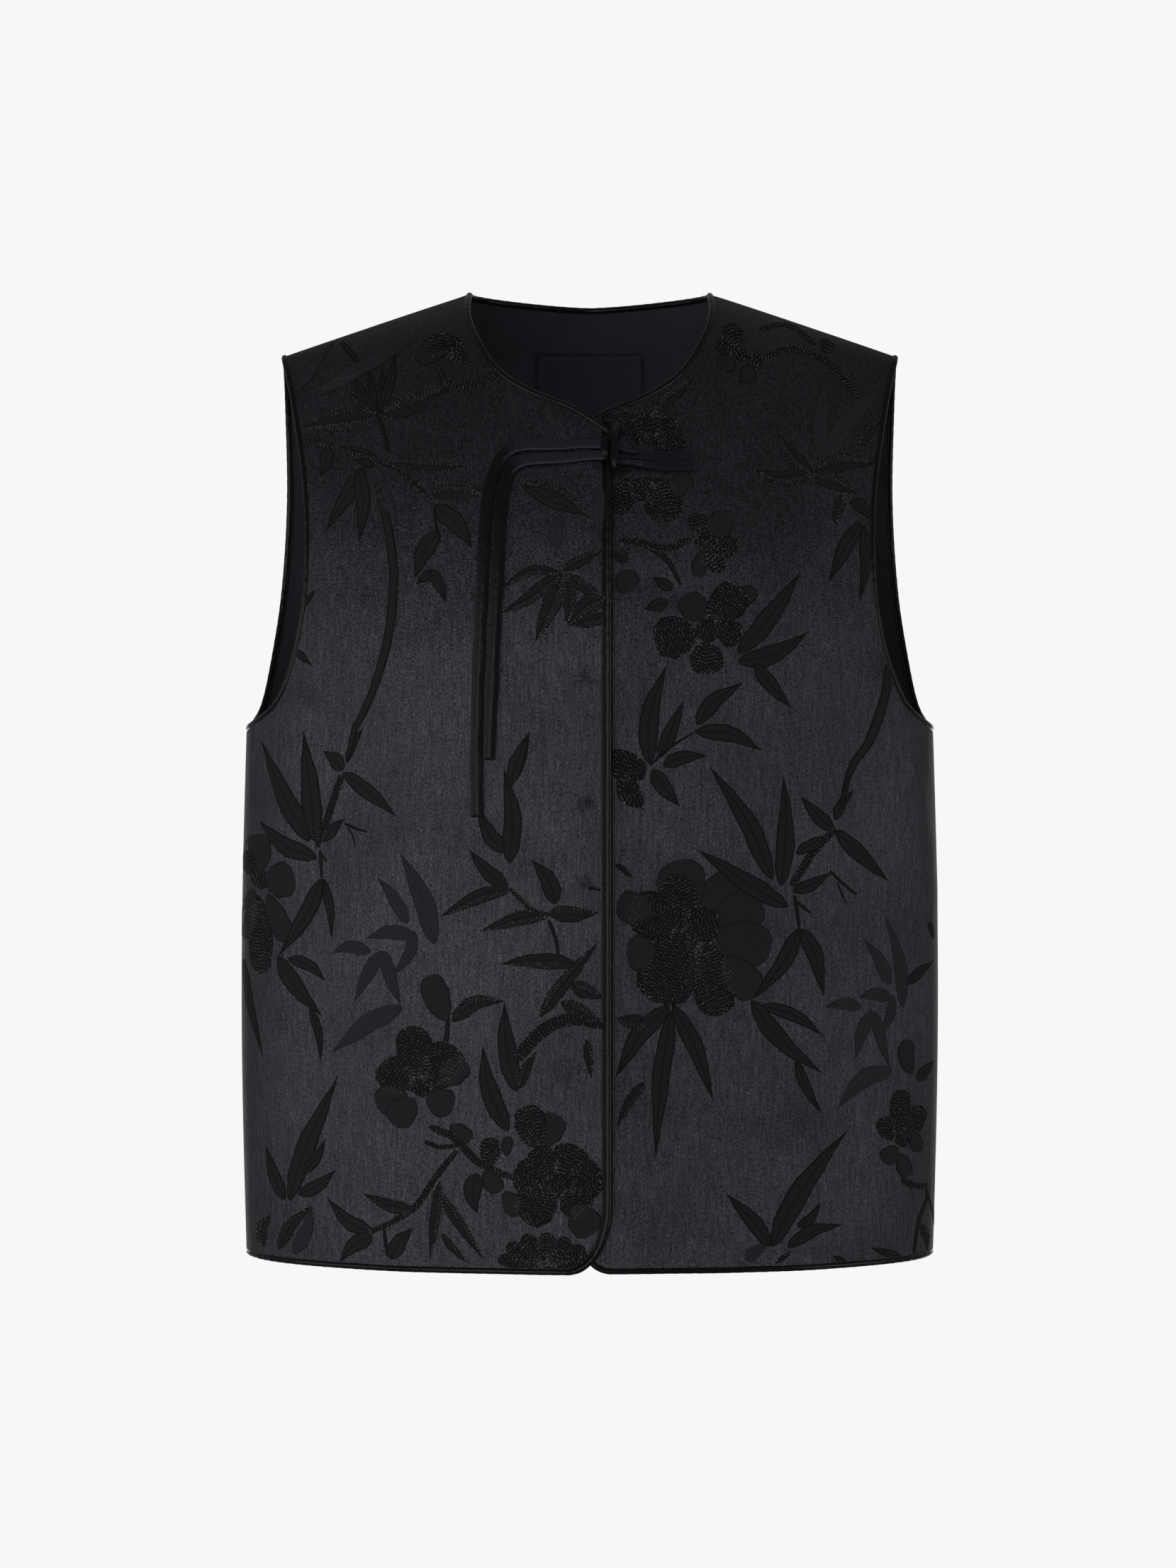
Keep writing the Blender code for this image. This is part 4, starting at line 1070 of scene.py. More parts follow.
def colour_property(name, description, default):
    """A colour that a user may change."""
    return bpy.props.FloatVectorProperty(
        name=name, description=description, default=default, size=3, min=0.0, max=1.0, subtype="COLOR",
    )


def length_property(name, description, default):
    """A length that a user may change."""
    return bpy.props.FloatProperty(
        name=name, description=description, default=default, precision=5, subtype="DISTANCE", unit="LENGTH",
    )


def power_property(name, description, default):
    """A lamp's power that a user may change."""
    return bpy.props.FloatProperty(
        name=name, description=description, default=default, min=0.0, unit="POWER",
    )


class WaistcoatFinish(bpy.types.PropertyGroup):
    """Colours and textures of the cloths."""

    satin_colour: colour_property("Satin", "Ground of the jacquard", (0.0405, 0.0375, 0.0460))
    satin_roughness: bpy.props.FloatProperty(
        name="Satin roughness", description="How widely the satin spreads light", default=0.44,
        min=0.0, max=1.0, subtype="FACTOR",
    )
    crepe_depth: length_property("Crepe depth", "Height of the satin's fine crinkle", 0.0006)
    figure_colour: colour_property("Figure", "Woven leaves", (0.0135, 0.0132, 0.0155))
    figure_pale: colour_property("Pale figure", "Woven leaves of the lighter kind", (0.024, 0.0225, 0.0285))
    ground_colour: colour_property("Ground", "Ground of the bright stitches", (0.0030, 0.0030, 0.0034))
    outline_colour: colour_property("Outline", "Edges of leaves and petals", (0.0025, 0.0025, 0.0028))
    # Pale colour of the stitches is a painted glint; a small share of it is the thread's own dark colour
    thread_and_glint_colour: colour_property("Thread", "Bright stitches in the blossoms", (0.360, 0.350, 0.360))
    piping_colour: colour_property("Piping", "Satin round the edges", (0.0045, 0.0043, 0.0047))
    tie_colour: colour_property("Ties", "Satin of the ties", (0.0060, 0.0060, 0.0085))
    # Painted sheen: the ties' colour where they run level, lighter as if lit there
    tie_lit_colour: colour_property("Lit ties", "The ties where they run level", (0.021, 0.021, 0.032))
    lining_colour: colour_property("Lining", "Lining cloth", (0.0480, 0.0460, 0.0610))
    label_colour: colour_property("Label", "Ground of the label", (0.0470, 0.0445, 0.0660))


class WaistcoatStage(bpy.types.PropertyGroup):
    """Camera, light and floor."""

    camera_distance: length_property("Camera distance", "From the plane of the side seams", 2.7)
    camera_height: length_property("Camera height", "Height of the level camera", -0.2997)
    camera_side: length_property("Camera to the side", "The camera's place across the garment", -0.0011)
    lens: bpy.props.FloatProperty(
        name="Lens", description="Focal length over a 36 mm sensor's long side", default=101.0,
        min=1.0, subtype="DISTANCE_CAMERA",
    )
    floor_drop: length_property("Floor below hem", "Gap between the hem and the floor", 0.25)
    floor_colour: colour_property("Floor", "Floor's colour", (0.935, 0.935, 0.935))
    fill: bpy.props.FloatProperty(
        name="Fill", description="Strength of the even light from all round", default=0.172, min=0.0,
    )
    key_power: power_property("Front light", "Power of the large front light", 20.0)
    right_power: power_property("Right light", "Power of the light on the wearer's right", 20.0)
    left_power: power_property("Left light", "Power of the light on the wearer's left", 18.0)
    back_power: power_property("Back light", "Power of the large back light", 42.0)


# Operators


class WAISTCOAT_OT_fronts(bpy.types.Operator):
    """Makes both fronts: satin outside and lining inside, on one grid."""

    bl_idname = "waistcoat.fronts"
    bl_label = "Fronts"

    def execute(self, context):
        looks = context.scene.waistcoat_finish
        satin, lining = satin_material(looks), lining_material(looks)
        x, z = front_grid()
        width = float(max(runs(row)[-1] for row in cloth("front_left", x, z)[0]))
        for name, way in (("front_left", 1), ("front_right", -1)):
            points, normals = cloth(name, way * x, z)
            layer = [
                up_to_seam(points - normals * depth, FRONT)[:, ::way]
                for depth in (0.0, CLOTH, CLOTH + SEAM_GAP, FRONT_WALL)
            ]
            places = cut_places(FRONT, way * x[:, ::way], z[:, ::way])
            # The satin stores where its painted lap shadow and painted spot shade fall
            cloth_piece = piece(
                f"satin_{name}", "jacquard", *slab(*layer[:2]), satin, (name,),
                {"tucked": painted_lap_shades(name, way * x[:, ::way], z[:, ::way])}, places,
            )
            inside = [skin[::LINING_STEP, ::LINING_STEP] for skin in layer[2:]]
            lining_piece = piece(f"lining_{name}", "lining", *slab(*inside), lining)
        return {"FINISHED"}


def cut_places(side, x, z):
    """Each grid point's place on the cut cloth: its run round the plan ellipse, and its height."""
    turn = np.linspace(-math.pi / 2, math.pi / 2, FINE_STEPS)
    plan = np.stack([CHEST_HALF * np.sin(turn), DEPTH[side] * np.cos(turn)], axis=-1)
    round_body = np.interp(x, plan[:, 0], runs(plan))
    places = np.stack([round_body, z], axis=-1).reshape(-1, 2)
    return np.concatenate([places, places])


def painted_lap_shades(panel, x, z):
    """Each grid point's distance past the over front's edge, for the painted shadow beside the piping, and
    the sum of the pressed spots' bells of painted shade.
    """
    inner = front_edges()[0][: CORNER_ROWS + SIDE_ROWS + CHEST_ROWS]
    past = x + np.interp(z, inner[:, 1], inner[:, 0])
    spots = np.zeros_like(x)
    if panel == "front_right":
        for x0, z0, share in SHADED_SPOTS:
            spots += share * np.exp(-((x - x0) / SPOT_HALF_WIDTH) ** 2 - ((z - z0) / SPOT_HALF_HEIGHT) ** 2)
    values = np.stack([past, spots, np.zeros_like(x)], axis=-1).reshape(-1, 3)
    return np.concatenate([values, values])


class WAISTCOAT_OT_back(bpy.types.Operator):
    """Makes the back: satin outside and lining inside."""

    bl_idname = "waistcoat.back"
    bl_label = "Back"

    def execute(self, context):
        looks = context.scene.waistcoat_finish
        satin = bpy.data.materials.get("jacquard_satin") or satin_material(looks)
        lining = bpy.data.materials.get("lining_cloth") or lining_material(looks)
        x, z = back_grid()
        points, normals = cloth("back", x, z)
        # The back's satin carries no painted lap shadow and no painted spot shade
        marks = {
            "values": {"tucked": np.tile(NO_LAP_SHADOW, (2 * x.size, 1))},
            "flat": cut_places(BACK, x[:, ::-1], z[:, ::-1]),
        }
        inside = BACK_WALL + SEAM_GAP
        for name, slot, node, first, last, step, material, extras in (
            ("satin_back", "jacquard", "back", 0.0, BACK_CLOTH, 1, satin, marks),
            ("lining_back", "lining", "back_lining", inside, inside + LINING, LINING_STEP, lining, {}),
        ):
            outer, inner = (
                up_to_seam(points - normals * depth, BACK)[::step, ::-step] for depth in (first, last)
            )
            made = piece(name, slot, *slab(outer, inner), material, (node,), **extras)
        return {"FINISHED"}


def beside(points, normals, away):
    """Points moved off a panel's edge, in the cloth's plane, so that a cord lies against the edge."""
    across = np.cross(lengthwise(points), normals)
    across /= np.linalg.norm(across, axis=-1, keepdims=True)
    return points + away * across * (PIPING_RADIUS - PIPING_BITE)


def piping_lines():
    """Path and normals of each piped edge, and whether it is a ring."""
    lines = {}
    x, z = front_grid()
    mids = {}
    for name, way in (("front_left", 1), ("front_right", -1)):
        points, normals = cloth(name, way * x, z)
        mid = points - normals * FRONT_WALL / 2
        mids[name] = mid, normals
        line = np.concatenate([mid[0, ::-1], mid[1:, 0]])
        line_normals = np.concatenate([normals[0, ::-1], normals[1:, 0]])
        lines["edge_" + name] = up_to_seam(beside(line, line_normals, -way), FRONT), line_normals, False
    points, normals = cloth("back", *back_grid())
    mid = points - normals * BACK_WHOLE / 2
    neck = slice(BACK_SHOULDER_COLUMNS, BACK_SHOULDER_COLUMNS + 2 * BACK_NECK_COLUMNS + 1)
    for name, row, columns, away in (("edge_back_neck", -1, neck, 1), ("edge_back_hem", 0, slice(None), -1)):
        path = beside(mid[row, columns], normals[row, columns], away)
        lines[name] = up_to_seam(path, BACK), normals[row, columns], False
    first = CORNER_ROWS + SIDE_ROWS
    for name, front, way, column in (("left", "front_left", 1, -1), ("right", "front_right", -1, 0)):
        up, up_normals = (values[first:, -1] for values in mids[front])
        down, down_normals = (values[BACK_SIDE_ROWS:, column][::-1] for values in (mid, normals))
        ring = np.concatenate([up[:-1], (up[-1:] + down[:1]) / 2, down[1:-1]])
        ring[0] = (up[0] + down[-1]) / 2
        ring_normals = np.concatenate([up_normals, down_normals[1:-1]])
        around, around_normals = (
            np.concatenate([values[-1:], values, values[:1]]) for values in (ring, ring_normals)
        )
        lines["edge_armhole_" + name] = beside(around, around_normals, way)[1:-1], ring_normals, True
    return lines


class WAISTCOAT_OT_piping(bpy.types.Operator):
    """Makes the piped edges: round satin tubes that swell and pinch a little along their length."""

    bl_idname = "waistcoat.piping"
    bl_label = "Piping"

    def execute(self, context):
        looks = context.scene.waistcoat_finish
        colour = looks.piping_colour
        satin = trim_material("piping_satin", colour, colour, *PIPING_SHINE)
        for name, (path, normals, ring) in piping_lines().items():
            if ring:
                path, normals = (np.concatenate([values, values[:1]]) for values in (path, normals))
            at = runs(path)
            count = round(at[-1] / PIPING_STEP)
            wanted = np.linspace(0.0, at[-1], count + 1)[: count if ring else count + 1]
            path, normals = read_at(path, at, wanted), read_at(normals, at, wanted)
            turn = np.linspace(0.0, 2 * math.pi, PIPING_SIDES, endpoint=False)
            pucker = PIPING_PUCKER / 2 * (waves(wanted, PIPING_WAVES) - 1.0)
            radius = PIPING_RADIUS * (1.0 + pucker)[:, None]
            tube = sweep(path, normals, radius * np.cos(turn), radius * np.sin(turn), ring)
            if not ring:
                tube = with_ends(*tube, PIPING_SIDES)
            piece(name.replace("edge", "piping"), "edge_satin", *tube[:2], satin, (name,), {"weave": tube[2]})
        return {"FINISHED"}


# Ties


def over_fronts(x, z, lift):
    """Points over whichever front shows at x, moved out by lift, with the normals."""
    over, normals = cloth("front_right", x, z, lift)
    under, _ = cloth("front_left", x, z, lift)
    return np.where((x > LAP_HALF)[:, None], under, over), normals


def route_points(route):
    """A route as points at equal steps along one smooth curve."""
    dense = spline(route)
    return evenly(dense, max(6, round(runs(dense)[-1] / TIE_STEP) + 1))


def near_knot(x, reach):
    """1 at the knot, and 0 further from it along X than reach."""
    return smooth_step(1.0 - (np.abs(x - KNOT_X) - KNOT_HALF_WIDTH) / reach)


def knot_place():
    """The knot's centre, at the over front's edge, and the direction that it faces."""
    foot, out = cloth("front_right", KNOT_X, KNOT_Z)
    return foot + np.array([0.0, KNOT_LIFT / out[1], 0.0]), out


def tie_path(flat, lift):
    """Path and normals of a tie that leaves the knot's side and comes down onto the front."""
    path, normals = over_fronts(flat[:, 0], flat[:, 1], lift)
    centre, out = knot_place()
    beside_knot = centre + (lift - (np.min(lift) + np.max(lift)) / 2)[:, None] * out
    in_knot = beside_knot[:, 1] - (flat[:, 1] - beside_knot[:, 2]) * out[2] / out[1]
    target = np.stack([flat[:, 0], in_knot, flat[:, 1]], axis=-1)
    return path + near_knot(flat[:, 0], KNOT_REACH)[:, None] * (target - path), normals


def oval_section():
    """Place across, from -1 to 1, and signed fullness of each point round a pressed tube's section."""
    turn = np.linspace(0.0, 2 * math.pi, TIE_SIDES, endpoint=False)
    across, through = TIE_ROUNDNESS
    return flattened(np.cos(turn), across), flattened(np.sin(turn), through)


def rounded_ends(path):
    """A factor along a path that is 1 but falls by a quarter circle at both its ends."""
    run = runs(path)
    to_end = np.clip(np.minimum(run, run[-1] - run) / TIE_HALF_THICKNESS, 0.0, 1.0)
    return np.sqrt(np.clip(1.0 - (1.0 - to_end) ** 2, END_LEAST, 1.0))


def tie_tube(path, normals, x):
    """A pressed tube of satin: it lies flat where it runs level, and stands up to a ridge where it hangs."""
    half = TIE_HALF_WIDTH * (1.0 - (1.0 - TIE_GATHER) * near_knot(x, GATHER_REACH))
    reach, fullness = oval_section()
    steepness = np.abs(lengthwise(path)[:, 2:])
    hanging = smooth_step((steepness - TIE_LEVEL) / (TIE_UPRIGHT - TIE_LEVEL))
    ridge = hanging * (1.0 - TIE_SLOPE * np.abs(reach)) + (1.0 - hanging) * (1.0 - TIE_CROWN * reach**2)
    thick = fullness * np.where(fullness > 0.0, ridge, TIE_UNDERSIDE) * TIE_HALF_THICKNESS
    closing = rounded_ends(path)
    half = half * (1.0 + waves(runs(path), TIE_WAVES)) * (1.0 - TIE_END_TAPER * (1.0 - closing))
    wide = half[:, None] * reach
    points, faces, weave = sweep(path, normals, wide, closing[:, None] * thick)
    # Painted sheen: the share of the lit colour, full where the tie runs level
    weave[:, 2] = np.repeat(1.0 - hanging[:, 0], TIE_SIDES)
    return with_ends(points, faces, weave, TIE_SIDES)


def gathered_band(route, halves, depth, grooves):
    """A band that comes out of the knot and widens: a pressed pouch with grooves along it.

    Each groove is a bell across the band, at a place from -1 to 1, that starts and stops at shares of it.
    """
    line = evenly(spline(route), BAND_RINGS)
    share = np.linspace(0.0, 1.0, BAND_RINGS)[:, None]
    path, normals = tie_path(line, np.full(BAND_RINGS, TIE_LIFT + depth / 2))
    turn = np.linspace(0.0, 2 * math.pi, BAND_SIDES, endpoint=False)
    reach, sine = np.cos(turn), np.sin(turn)
    fullness = flattened(sine, BAND_ROUNDNESS)
    cut = np.zeros((BAND_RINGS, BAND_SIDES))
    for first, last, width, deep in grooves:
        place = first + (last - first) * share
        cut += deep * np.exp(-(((reach - place) / width) ** 2))
    half = halves[0] + (halves[1] - halves[0]) * smooth_step(share * BAND_WIDENING)
    closing = rounded_ends(path)[:, None]
    along, across = BAND_SWELL_TURNS
    swell = 1.0 - BAND_SWELL + BAND_SWELL * np.sin(share * along + across * reach)
    thick = closing * fullness * depth * swell * (1.0 - np.where(sine > 0.0, cut, 0.0))
    wide = half * (1.0 - BAND_END_TAPER * (1.0 - closing)) * reach
    points, faces, weave = sweep(path, normals, wide, thick)
    # Painted highlight and shade: the band turns lit towards its end and darkens in its grooves
    rim = smooth_step((share - BAND_RIM) / (1.0 - BAND_RIM))
    tone = BAND_TONE + (1.0 - BAND_TONE) * rim
    weave[:, 2] = (tone * np.clip(1.0 - BAND_GROOVE_SHADE * cut, 0.0, 1.0)).ravel()
    return with_ends(points, faces, weave, BAND_SIDES)


class WAISTCOAT_OT_ties(bpy.types.Operator):
    """Makes the half bow: two hanging ends, a loop, a short ear and the knot that holds them."""

    bl_idname = "waistcoat.ties"
    bl_label = "Ties"

    def execute(self, context):
        looks = context.scene.waistcoat_finish
        satin = trim_material("tie_satin", looks.tie_colour, looks.tie_lit_colour, *TIE_SHINE)
        for name, route in (("tie_end_long", LONG_TIE), ("tie_end_short", SHORT_TIE)):
            flat = route_points(route)
            path, normals = tie_path(flat, np.full(len(flat), TIE_LIFT))
            points, faces, weave = tie_tube(path, normals, flat[:, 0])
            made = piece(f"satin_{name}", "tie_satin", points, faces, satin, (name,), {"weave": weave})
        for name, band in (("tie_loop", LOOP_BAND), ("tie_ear", EAR_BAND)):
            points, faces, weave = gathered_band(*band)
            piece(f"satin_{name}", "tie_satin", points, faces, satin, (name,), {"weave": weave})
        points, faces, weave = joined([knot_turn(*turn) for turn in KNOT_TURNS])
        piece("satin_tie_knot", "tie_satin", points, faces, satin, ("tie_knot",), {"weave": weave})
        return {"FINISHED"}


def knot_turn(x, z, lift, halves):
    """One turn of the knot: an oval carried across X that swells in its middle, with a slight crease."""
    share = np.linspace(-1.0, 1.0, KNOT_RINGS)
    swell = np.clip((1.0 - np.abs(share) ** KNOT_TAPER) ** 0.5, KNOT_LEAST, None)[:, None]
    turn = np.linspace(0.0, 2 * math.pi, KNOT_SIDES, endpoint=False)
    along, round_it, start = KNOT_CREASE_TURNS
    crease = np.cos(along * share[:, None] + round_it * np.cos(turn) + start)
    scale = swell * (1.0 + KNOT_CREASE * crease)
    centre, out = knot_place()
    centre = centre + out * lift + np.array([x - KNOT_X, 0.0, z - KNOT_Z])
    sideways = np.array([1.0, 0.0, 0.0])
    up = np.cross(sideways, out)
    deep = flattened(np.sin(turn), KNOT_ROUNDNESS) * halves[1]
    tall = flattened(np.cos(turn), KNOT_ROUNDNESS) * halves[2]
    points = (
        centre - sideways * (share * halves[0])[:, None, None]
        + out * (scale * deep)[..., None] + up * (scale * tall)[..., None]
    )
    run = np.repeat(share * halves[0], KNOT_SIDES)
    around = np.tile(turn / (2 * math.pi), KNOT_RINGS)
    weave = np.stack([around, run, np.zeros_like(run)], axis=-1)
    faces = grid_faces(KNOT_RINGS, KNOT_SIDES, wrap=True)
    return with_ends(points.reshape(-1, 3), faces, weave, KNOT_SIDES)


# Woven figures


def hold_on(panel, edges, right, z):
    """Points brought back inside a panel's edges; right is x as seen from outside."""
    inner, outer = edges
    margin = FIGURE_MARGIN
    if panel == "back":
        z = np.clip(z, HEM_Z + margin, back_top(right) - margin)
        reach = np.interp(z, outer[:, 1], outer[:, 0]) - margin
        return np.clip(right, -reach, reach), z
    way = 1 if panel == "front_left" else -1
    z = np.clip(z, HEM_Z + margin, ridge_height(right) - margin)
    least = np.interp(z, inner[:, 1], inner[:, 0]) + margin
    most = np.interp(z, outer[:, 1], outer[:, 0]) - margin
    return way * np.clip(way * right, least, most), z


def half_profile(share, widening, narrowing):
    """share^widening (1 - share)^narrowing over its own greatest value, and never quite nothing."""
    top = widening / (widening + narrowing)
    curve = share**widening * (1.0 - share) ** narrowing / (top**widening * (1.0 - top) ** narrowing)
    return np.maximum(curve, FIGURE_POINT)


class Figure:
    """A leaf, petal or stem: a line from foot to tip and a width that follows its kind's profile."""

    def __init__(self, kind, numbers):
        """numbers are a row of FIGURES: a width, then x and z of each point."""
        self.widening, self.narrowing, self.cells, self.tone, self.ribbed, self.stitched = KINDS[kind]
        self.width = numbers[0] * MM
        corners = np.reshape(numbers[1:], (-1, 2)) * MM
        self.line = spline(corners) if len(corners) > 2 else evenly(corners, SPLINE_STEPS)
        self.at = runs(self.line)
        self.length = float(self.at[-1])

    def place(self, across, share):
        """(right, z) at a share of the length and so far across, from -1 to 1."""
        wanted = share * self.length
        here, along = (read_at(line, self.at, wanted) for line in (self.line, lengthwise(self.line)))
        reach = across * self.width / 2 * half_profile(share, self.widening, self.narrowing)
        reach = reach * (1.0 + FIGURE_WAVE * np.sin(wanted * FIGURE_WAVE_RATE + 2.0 * np.sign(across)))
        return here[:, 0] + reach * along[:, 1], here[:, 1] - reach * along[:, 0]

    def patch(self, panel, edges, lift):
        """Points, faces and weave of the raised patch, without the faces that lie off the panel."""
        rows = int(np.clip(round(self.length / FIGURE_CELL), *FIGURE_ROWS))
        share, across = np.meshgrid(
            (1.0 - np.cos(np.linspace(0.0, math.pi, rows + 1))) / 2,
            np.linspace(-1.0, 1.0, self.cells + 1), indexing="ij",
        )
        right, z = self.place(across.ravel(), share.ravel())
        held_right, held_z = hold_on(panel, edges, right, z)
        inside = (np.abs(held_right - right) + np.abs(held_z - z)) < MM / 100
        faces = grid_faces(rows + 1, self.cells + 1)
        faces = faces[inside[faces].any(axis=1)]
        if not len(faces):
            return None
        x = -held_right if panel == "back" else held_right
        outer, _ = cloth(panel, x, held_z, lift)
        inner, _ = cloth(panel, x, held_z, -FIGURE_ROOT)
        half = self.width / 2 * half_profile(share, self.widening, self.narrowing)
        to_edge = (1.0 - np.abs(across)) * half
        to_rib = (np.abs(across) if self.ribbed else 1.0) * half
        weave = np.stack([to_edge.ravel(), to_rib.ravel(), np.full(len(x), self.tone)], axis=-1)
        return closed_patch(outer, inner, faces, weave)

    def threads(self, panel, edges, lift, chance):
        """Starts, stops and normals of its stitches: rows along it, on one half of a leaf, and both edges."""
        row = BACK_ROW if panel == "back" else STITCH_ROW
        count = max(1, round(self.width / row))
        rows = ((np.arange(count) + 0.5) / count * 2 - 1) * STITCH_INSET
        rows = np.concatenate([[-STITCH_EDGE], rows, [STITCH_EDGE]])
        steps = max(2, int(self.length / STITCH_STEP))
        across, index = np.meshgrid(rows, np.arange(steps), indexing="ij")
        stagger = chance.uniform(0.0, STITCH_STAGGER, (len(rows), 1))
        jitter = chance.uniform(-STITCH_JITTER, STITCH_JITTER, index.shape)
        first_start, last_start, last_stop = STITCH_SPAN
        start = np.clip((index + stagger + jitter) / steps, first_start, last_start)
        stop = start + STITCH_LENGTH / self.length * chance.uniform(*STITCH_LENGTHS, index.shape)
        spacing = self.width * half_profile(start, self.widening, self.narrowing) / count
        filled = (spacing > row * STITCH_ROOM) & ((across < 0.0) | (not self.ribbed))
        keep = (stop < last_stop) & (filled | (np.abs(across) > STITCH_INSET))
        across, start, stop = across[keep], start[keep], stop[keep]
        ends = [self.place(across, share) for share in (start, stop)]
        held = [hold_on(panel, edges, *end) for end in ends]
        off = sum(np.abs(a - b) for pair in zip(ends, held) for a, b in zip(*pair))
        on = off < MM / 100
        way = -1 if panel == "back" else 1
        (first, normals), (last, _) = (
            cloth(panel, way * right[on], z[on], lift + STITCH_PROUD * STITCH_RADIUS) for right, z in ends
        )
        return first, last, normals


def closed_patch(outer, inner, faces, weave):
    """A thin closed patch: some faces of a grid outside, the same turned over inside, and a rim."""
    used, faces = np.unique(faces, return_inverse=True)
    faces = faces.reshape(-1, 4)
    count = len(used)
    edges = np.stack([faces, np.roll(faces, -1, axis=1)], axis=-1).reshape(-1, 2)
    there, back = edges[:, 0] * count + edges[:, 1], edges[:, 1] * count + edges[:, 0]
    a, b = edges[~np.isin(there, back)].T
    rim = np.stack([b, a, a + count, b + count], axis=-1)
    points = np.concatenate([outer[used], inner[used]])
    marks = np.concatenate([weave[used], weave[used]])
    return points, np.concatenate([faces, faces[:, ::-1] + count, rim]), marks


def panel_figures(panel):
    """Every figure of a panel. The back takes both fronts' figures, and a spray under the nape."""
    if panel != "back":
        return [Figure(kind, row) for kind, rows in FIGURES[panel].items() for row in rows]
    figures = panel_figures("front_right") + panel_figures("front_left")
    for kind, rows in FIGURES["front_left"].items():
        for row in rows:
            inside = all(
                low <= foot <= high for foot, (low, high) in zip(row[1:3], (BACK_SPRAY["x"], BACK_SPRAY["z"]))
            )
            if inside:
                moved = np.reshape(row[1:], (-1, 2)) + BACK_SPRAY["move"]
                figures.append(Figure(kind, (row[0], *moved.ravel())))
    return figures


def panel_edges(panel):
    """(x, z) along a panel's inner and outer edges; the back has only its outer edge."""
    return (None, back_edge()) if panel == "back" else front_edges()


class WAISTCOAT_OT_figures(bpy.types.Operator):
    """Makes the woven leaves, blossoms and stems of each panel, and the bright stitches in them."""

    bl_idname = "waistcoat.figures"
    bl_label = "Woven figures"

    def execute(self, context):
        looks = context.scene.waistcoat_finish
        woven, thread = figure_material(looks), stitch_material(looks)
        for seed, panel in enumerate(("front_right", "front_left", "back")):
            chance = np.random.default_rng(seed)
            edges = panel_edges(panel)
            patches, threads = [], []
            for index, figure in enumerate(panel_figures(panel)):
                lift = FIGURE_LIFT + FIGURE_STEP * (index % FIGURE_LAYERS)
                patch = figure.patch(panel, edges, lift)
                if patch:
                    patches.append(patch)
                    if figure.stitched:
                        threads.append(figure.threads(panel, edges, lift, chance))
            points, faces, weave = joined(patches)
            piece(f"figures_{panel}", "jacquard", points, faces, woven, values={"weave": weave})
            ends = [np.concatenate(values) for values in zip(*threads)]
            points, faces = stitches(*ends, STITCH_RADIUS)
            piece(f"threads_{panel}", "jacquard", points, faces, thread)
        return {"FINISHED"}


# Label


class WAISTCOAT_OT_label(bpy.types.Operator):
    """Makes the bare label and the thread that sews it down."""

    bl_idname = "waistcoat.label"
    bl_label = "Label"

    def execute(self, context):
        looks = context.scene.waistcoat_finish
        across = np.linspace(LABEL_HALF_WIDTH, -LABEL_HALF_WIDTH, LABEL_CELLS[0] + 1)
        down = np.linspace(LABEL_TOP_Z - LABEL_HEIGHT, LABEL_TOP_Z, LABEL_CELLS[1] + 1)
        x, z = np.meshgrid(across, down)
        near_edge = np.minimum(LABEL_HALF_WIDTH - np.abs(x), np.minimum(z - down[0], down[-1] - z))
        doubled = smooth_step((LABEL_FOLD - near_edge) / MM)
        wall = LABEL_WALL * (1.0 - LABEL_FOLD_SHARE * (1.0 - doubled))
        foot = BACK_WHOLE + LABEL_LIFT
        outer, normals = cloth("back", x, z, -foot)
        inner = outer - normals * wall[..., None]
        piece("label_patch", "label", *slab(outer, inner), label_material(looks), ("label",))
        corners = np.array([(-1, -1), (1, -1), (1, 1), (-1, 1), (-1, -1)]) * 1.0
        corners[:, 0] *= LABEL_HALF_WIDTH - LABEL_INSET
        corners[:, 1] = (down[0] + down[-1]) / 2 + corners[:, 1] * (LABEL_HEIGHT / 2 - LABEL_INSET)
        at = runs(corners)
        starts = np.arange(0.0, at[-1] - STITCH_LENGTH, STITCH_STEP)
        ends = read_at(corners, at, starts), read_at(corners, at, starts + STITCH_LENGTH)
        lift = -(foot + LABEL_WALL + LABEL_STITCH_PROUD * STITCH_RADIUS)
        a, b = (cloth("back", end[:, 0], end[:, 1], lift)[0] for end in ends)
        _, normals = cloth("back", ends[0][:, 0], ends[0][:, 1])
        points, faces = stitches(a, b, normals, STITCH_RADIUS)
        piece("label_stitches", "label", points, faces, stitch_material(looks))
        return {"FINISHED"}


def stitches(starts, stops, normals, radius):
    """Short threads between pairs of points: each a spindle with four points round its middle."""
    along = stops - starts
    along /= np.linalg.norm(along, axis=-1, keepdims=True)
    across = np.cross(along, normals)
    across /= np.linalg.norm(across, axis=-1, keepdims=True)
    out = np.cross(across, along)
    middle = (starts + stops) / 2
    belt = [middle + radius * (side * across + up * out) for side, up in ((1, 0), (0, 1), (-1, 0), (0, -1))]
    points = np.stack([starts, *belt, stops], axis=1)
    ring = np.arange(1, 5)
    onward = np.roll(ring, -1)
    one = np.concatenate([
        np.stack([np.zeros(4, int), onward, ring], axis=-1), np.stack([np.full(4, 5), ring, onward], axis=-1),
    ])
    faces = one[None] + (np.arange(len(starts)) * 6)[:, None, None]
    return points.reshape(-1, 3), faces.reshape(-1, 3)


# Stage

STAGE_REACH = 9.0
DOME_RINGS = 16
DOME_SIDES = 48


def disc(radius, z):
    """A flat round floor: one ring of points about its middle."""
    turn = np.linspace(0.0, 2 * math.pi, DOME_SIDES, endpoint=False)
    ring = np.stack([radius * np.cos(turn), radius * np.sin(turn), np.full(DOME_SIDES, z)], axis=-1)
    return ring, [list(range(DOME_SIDES))]


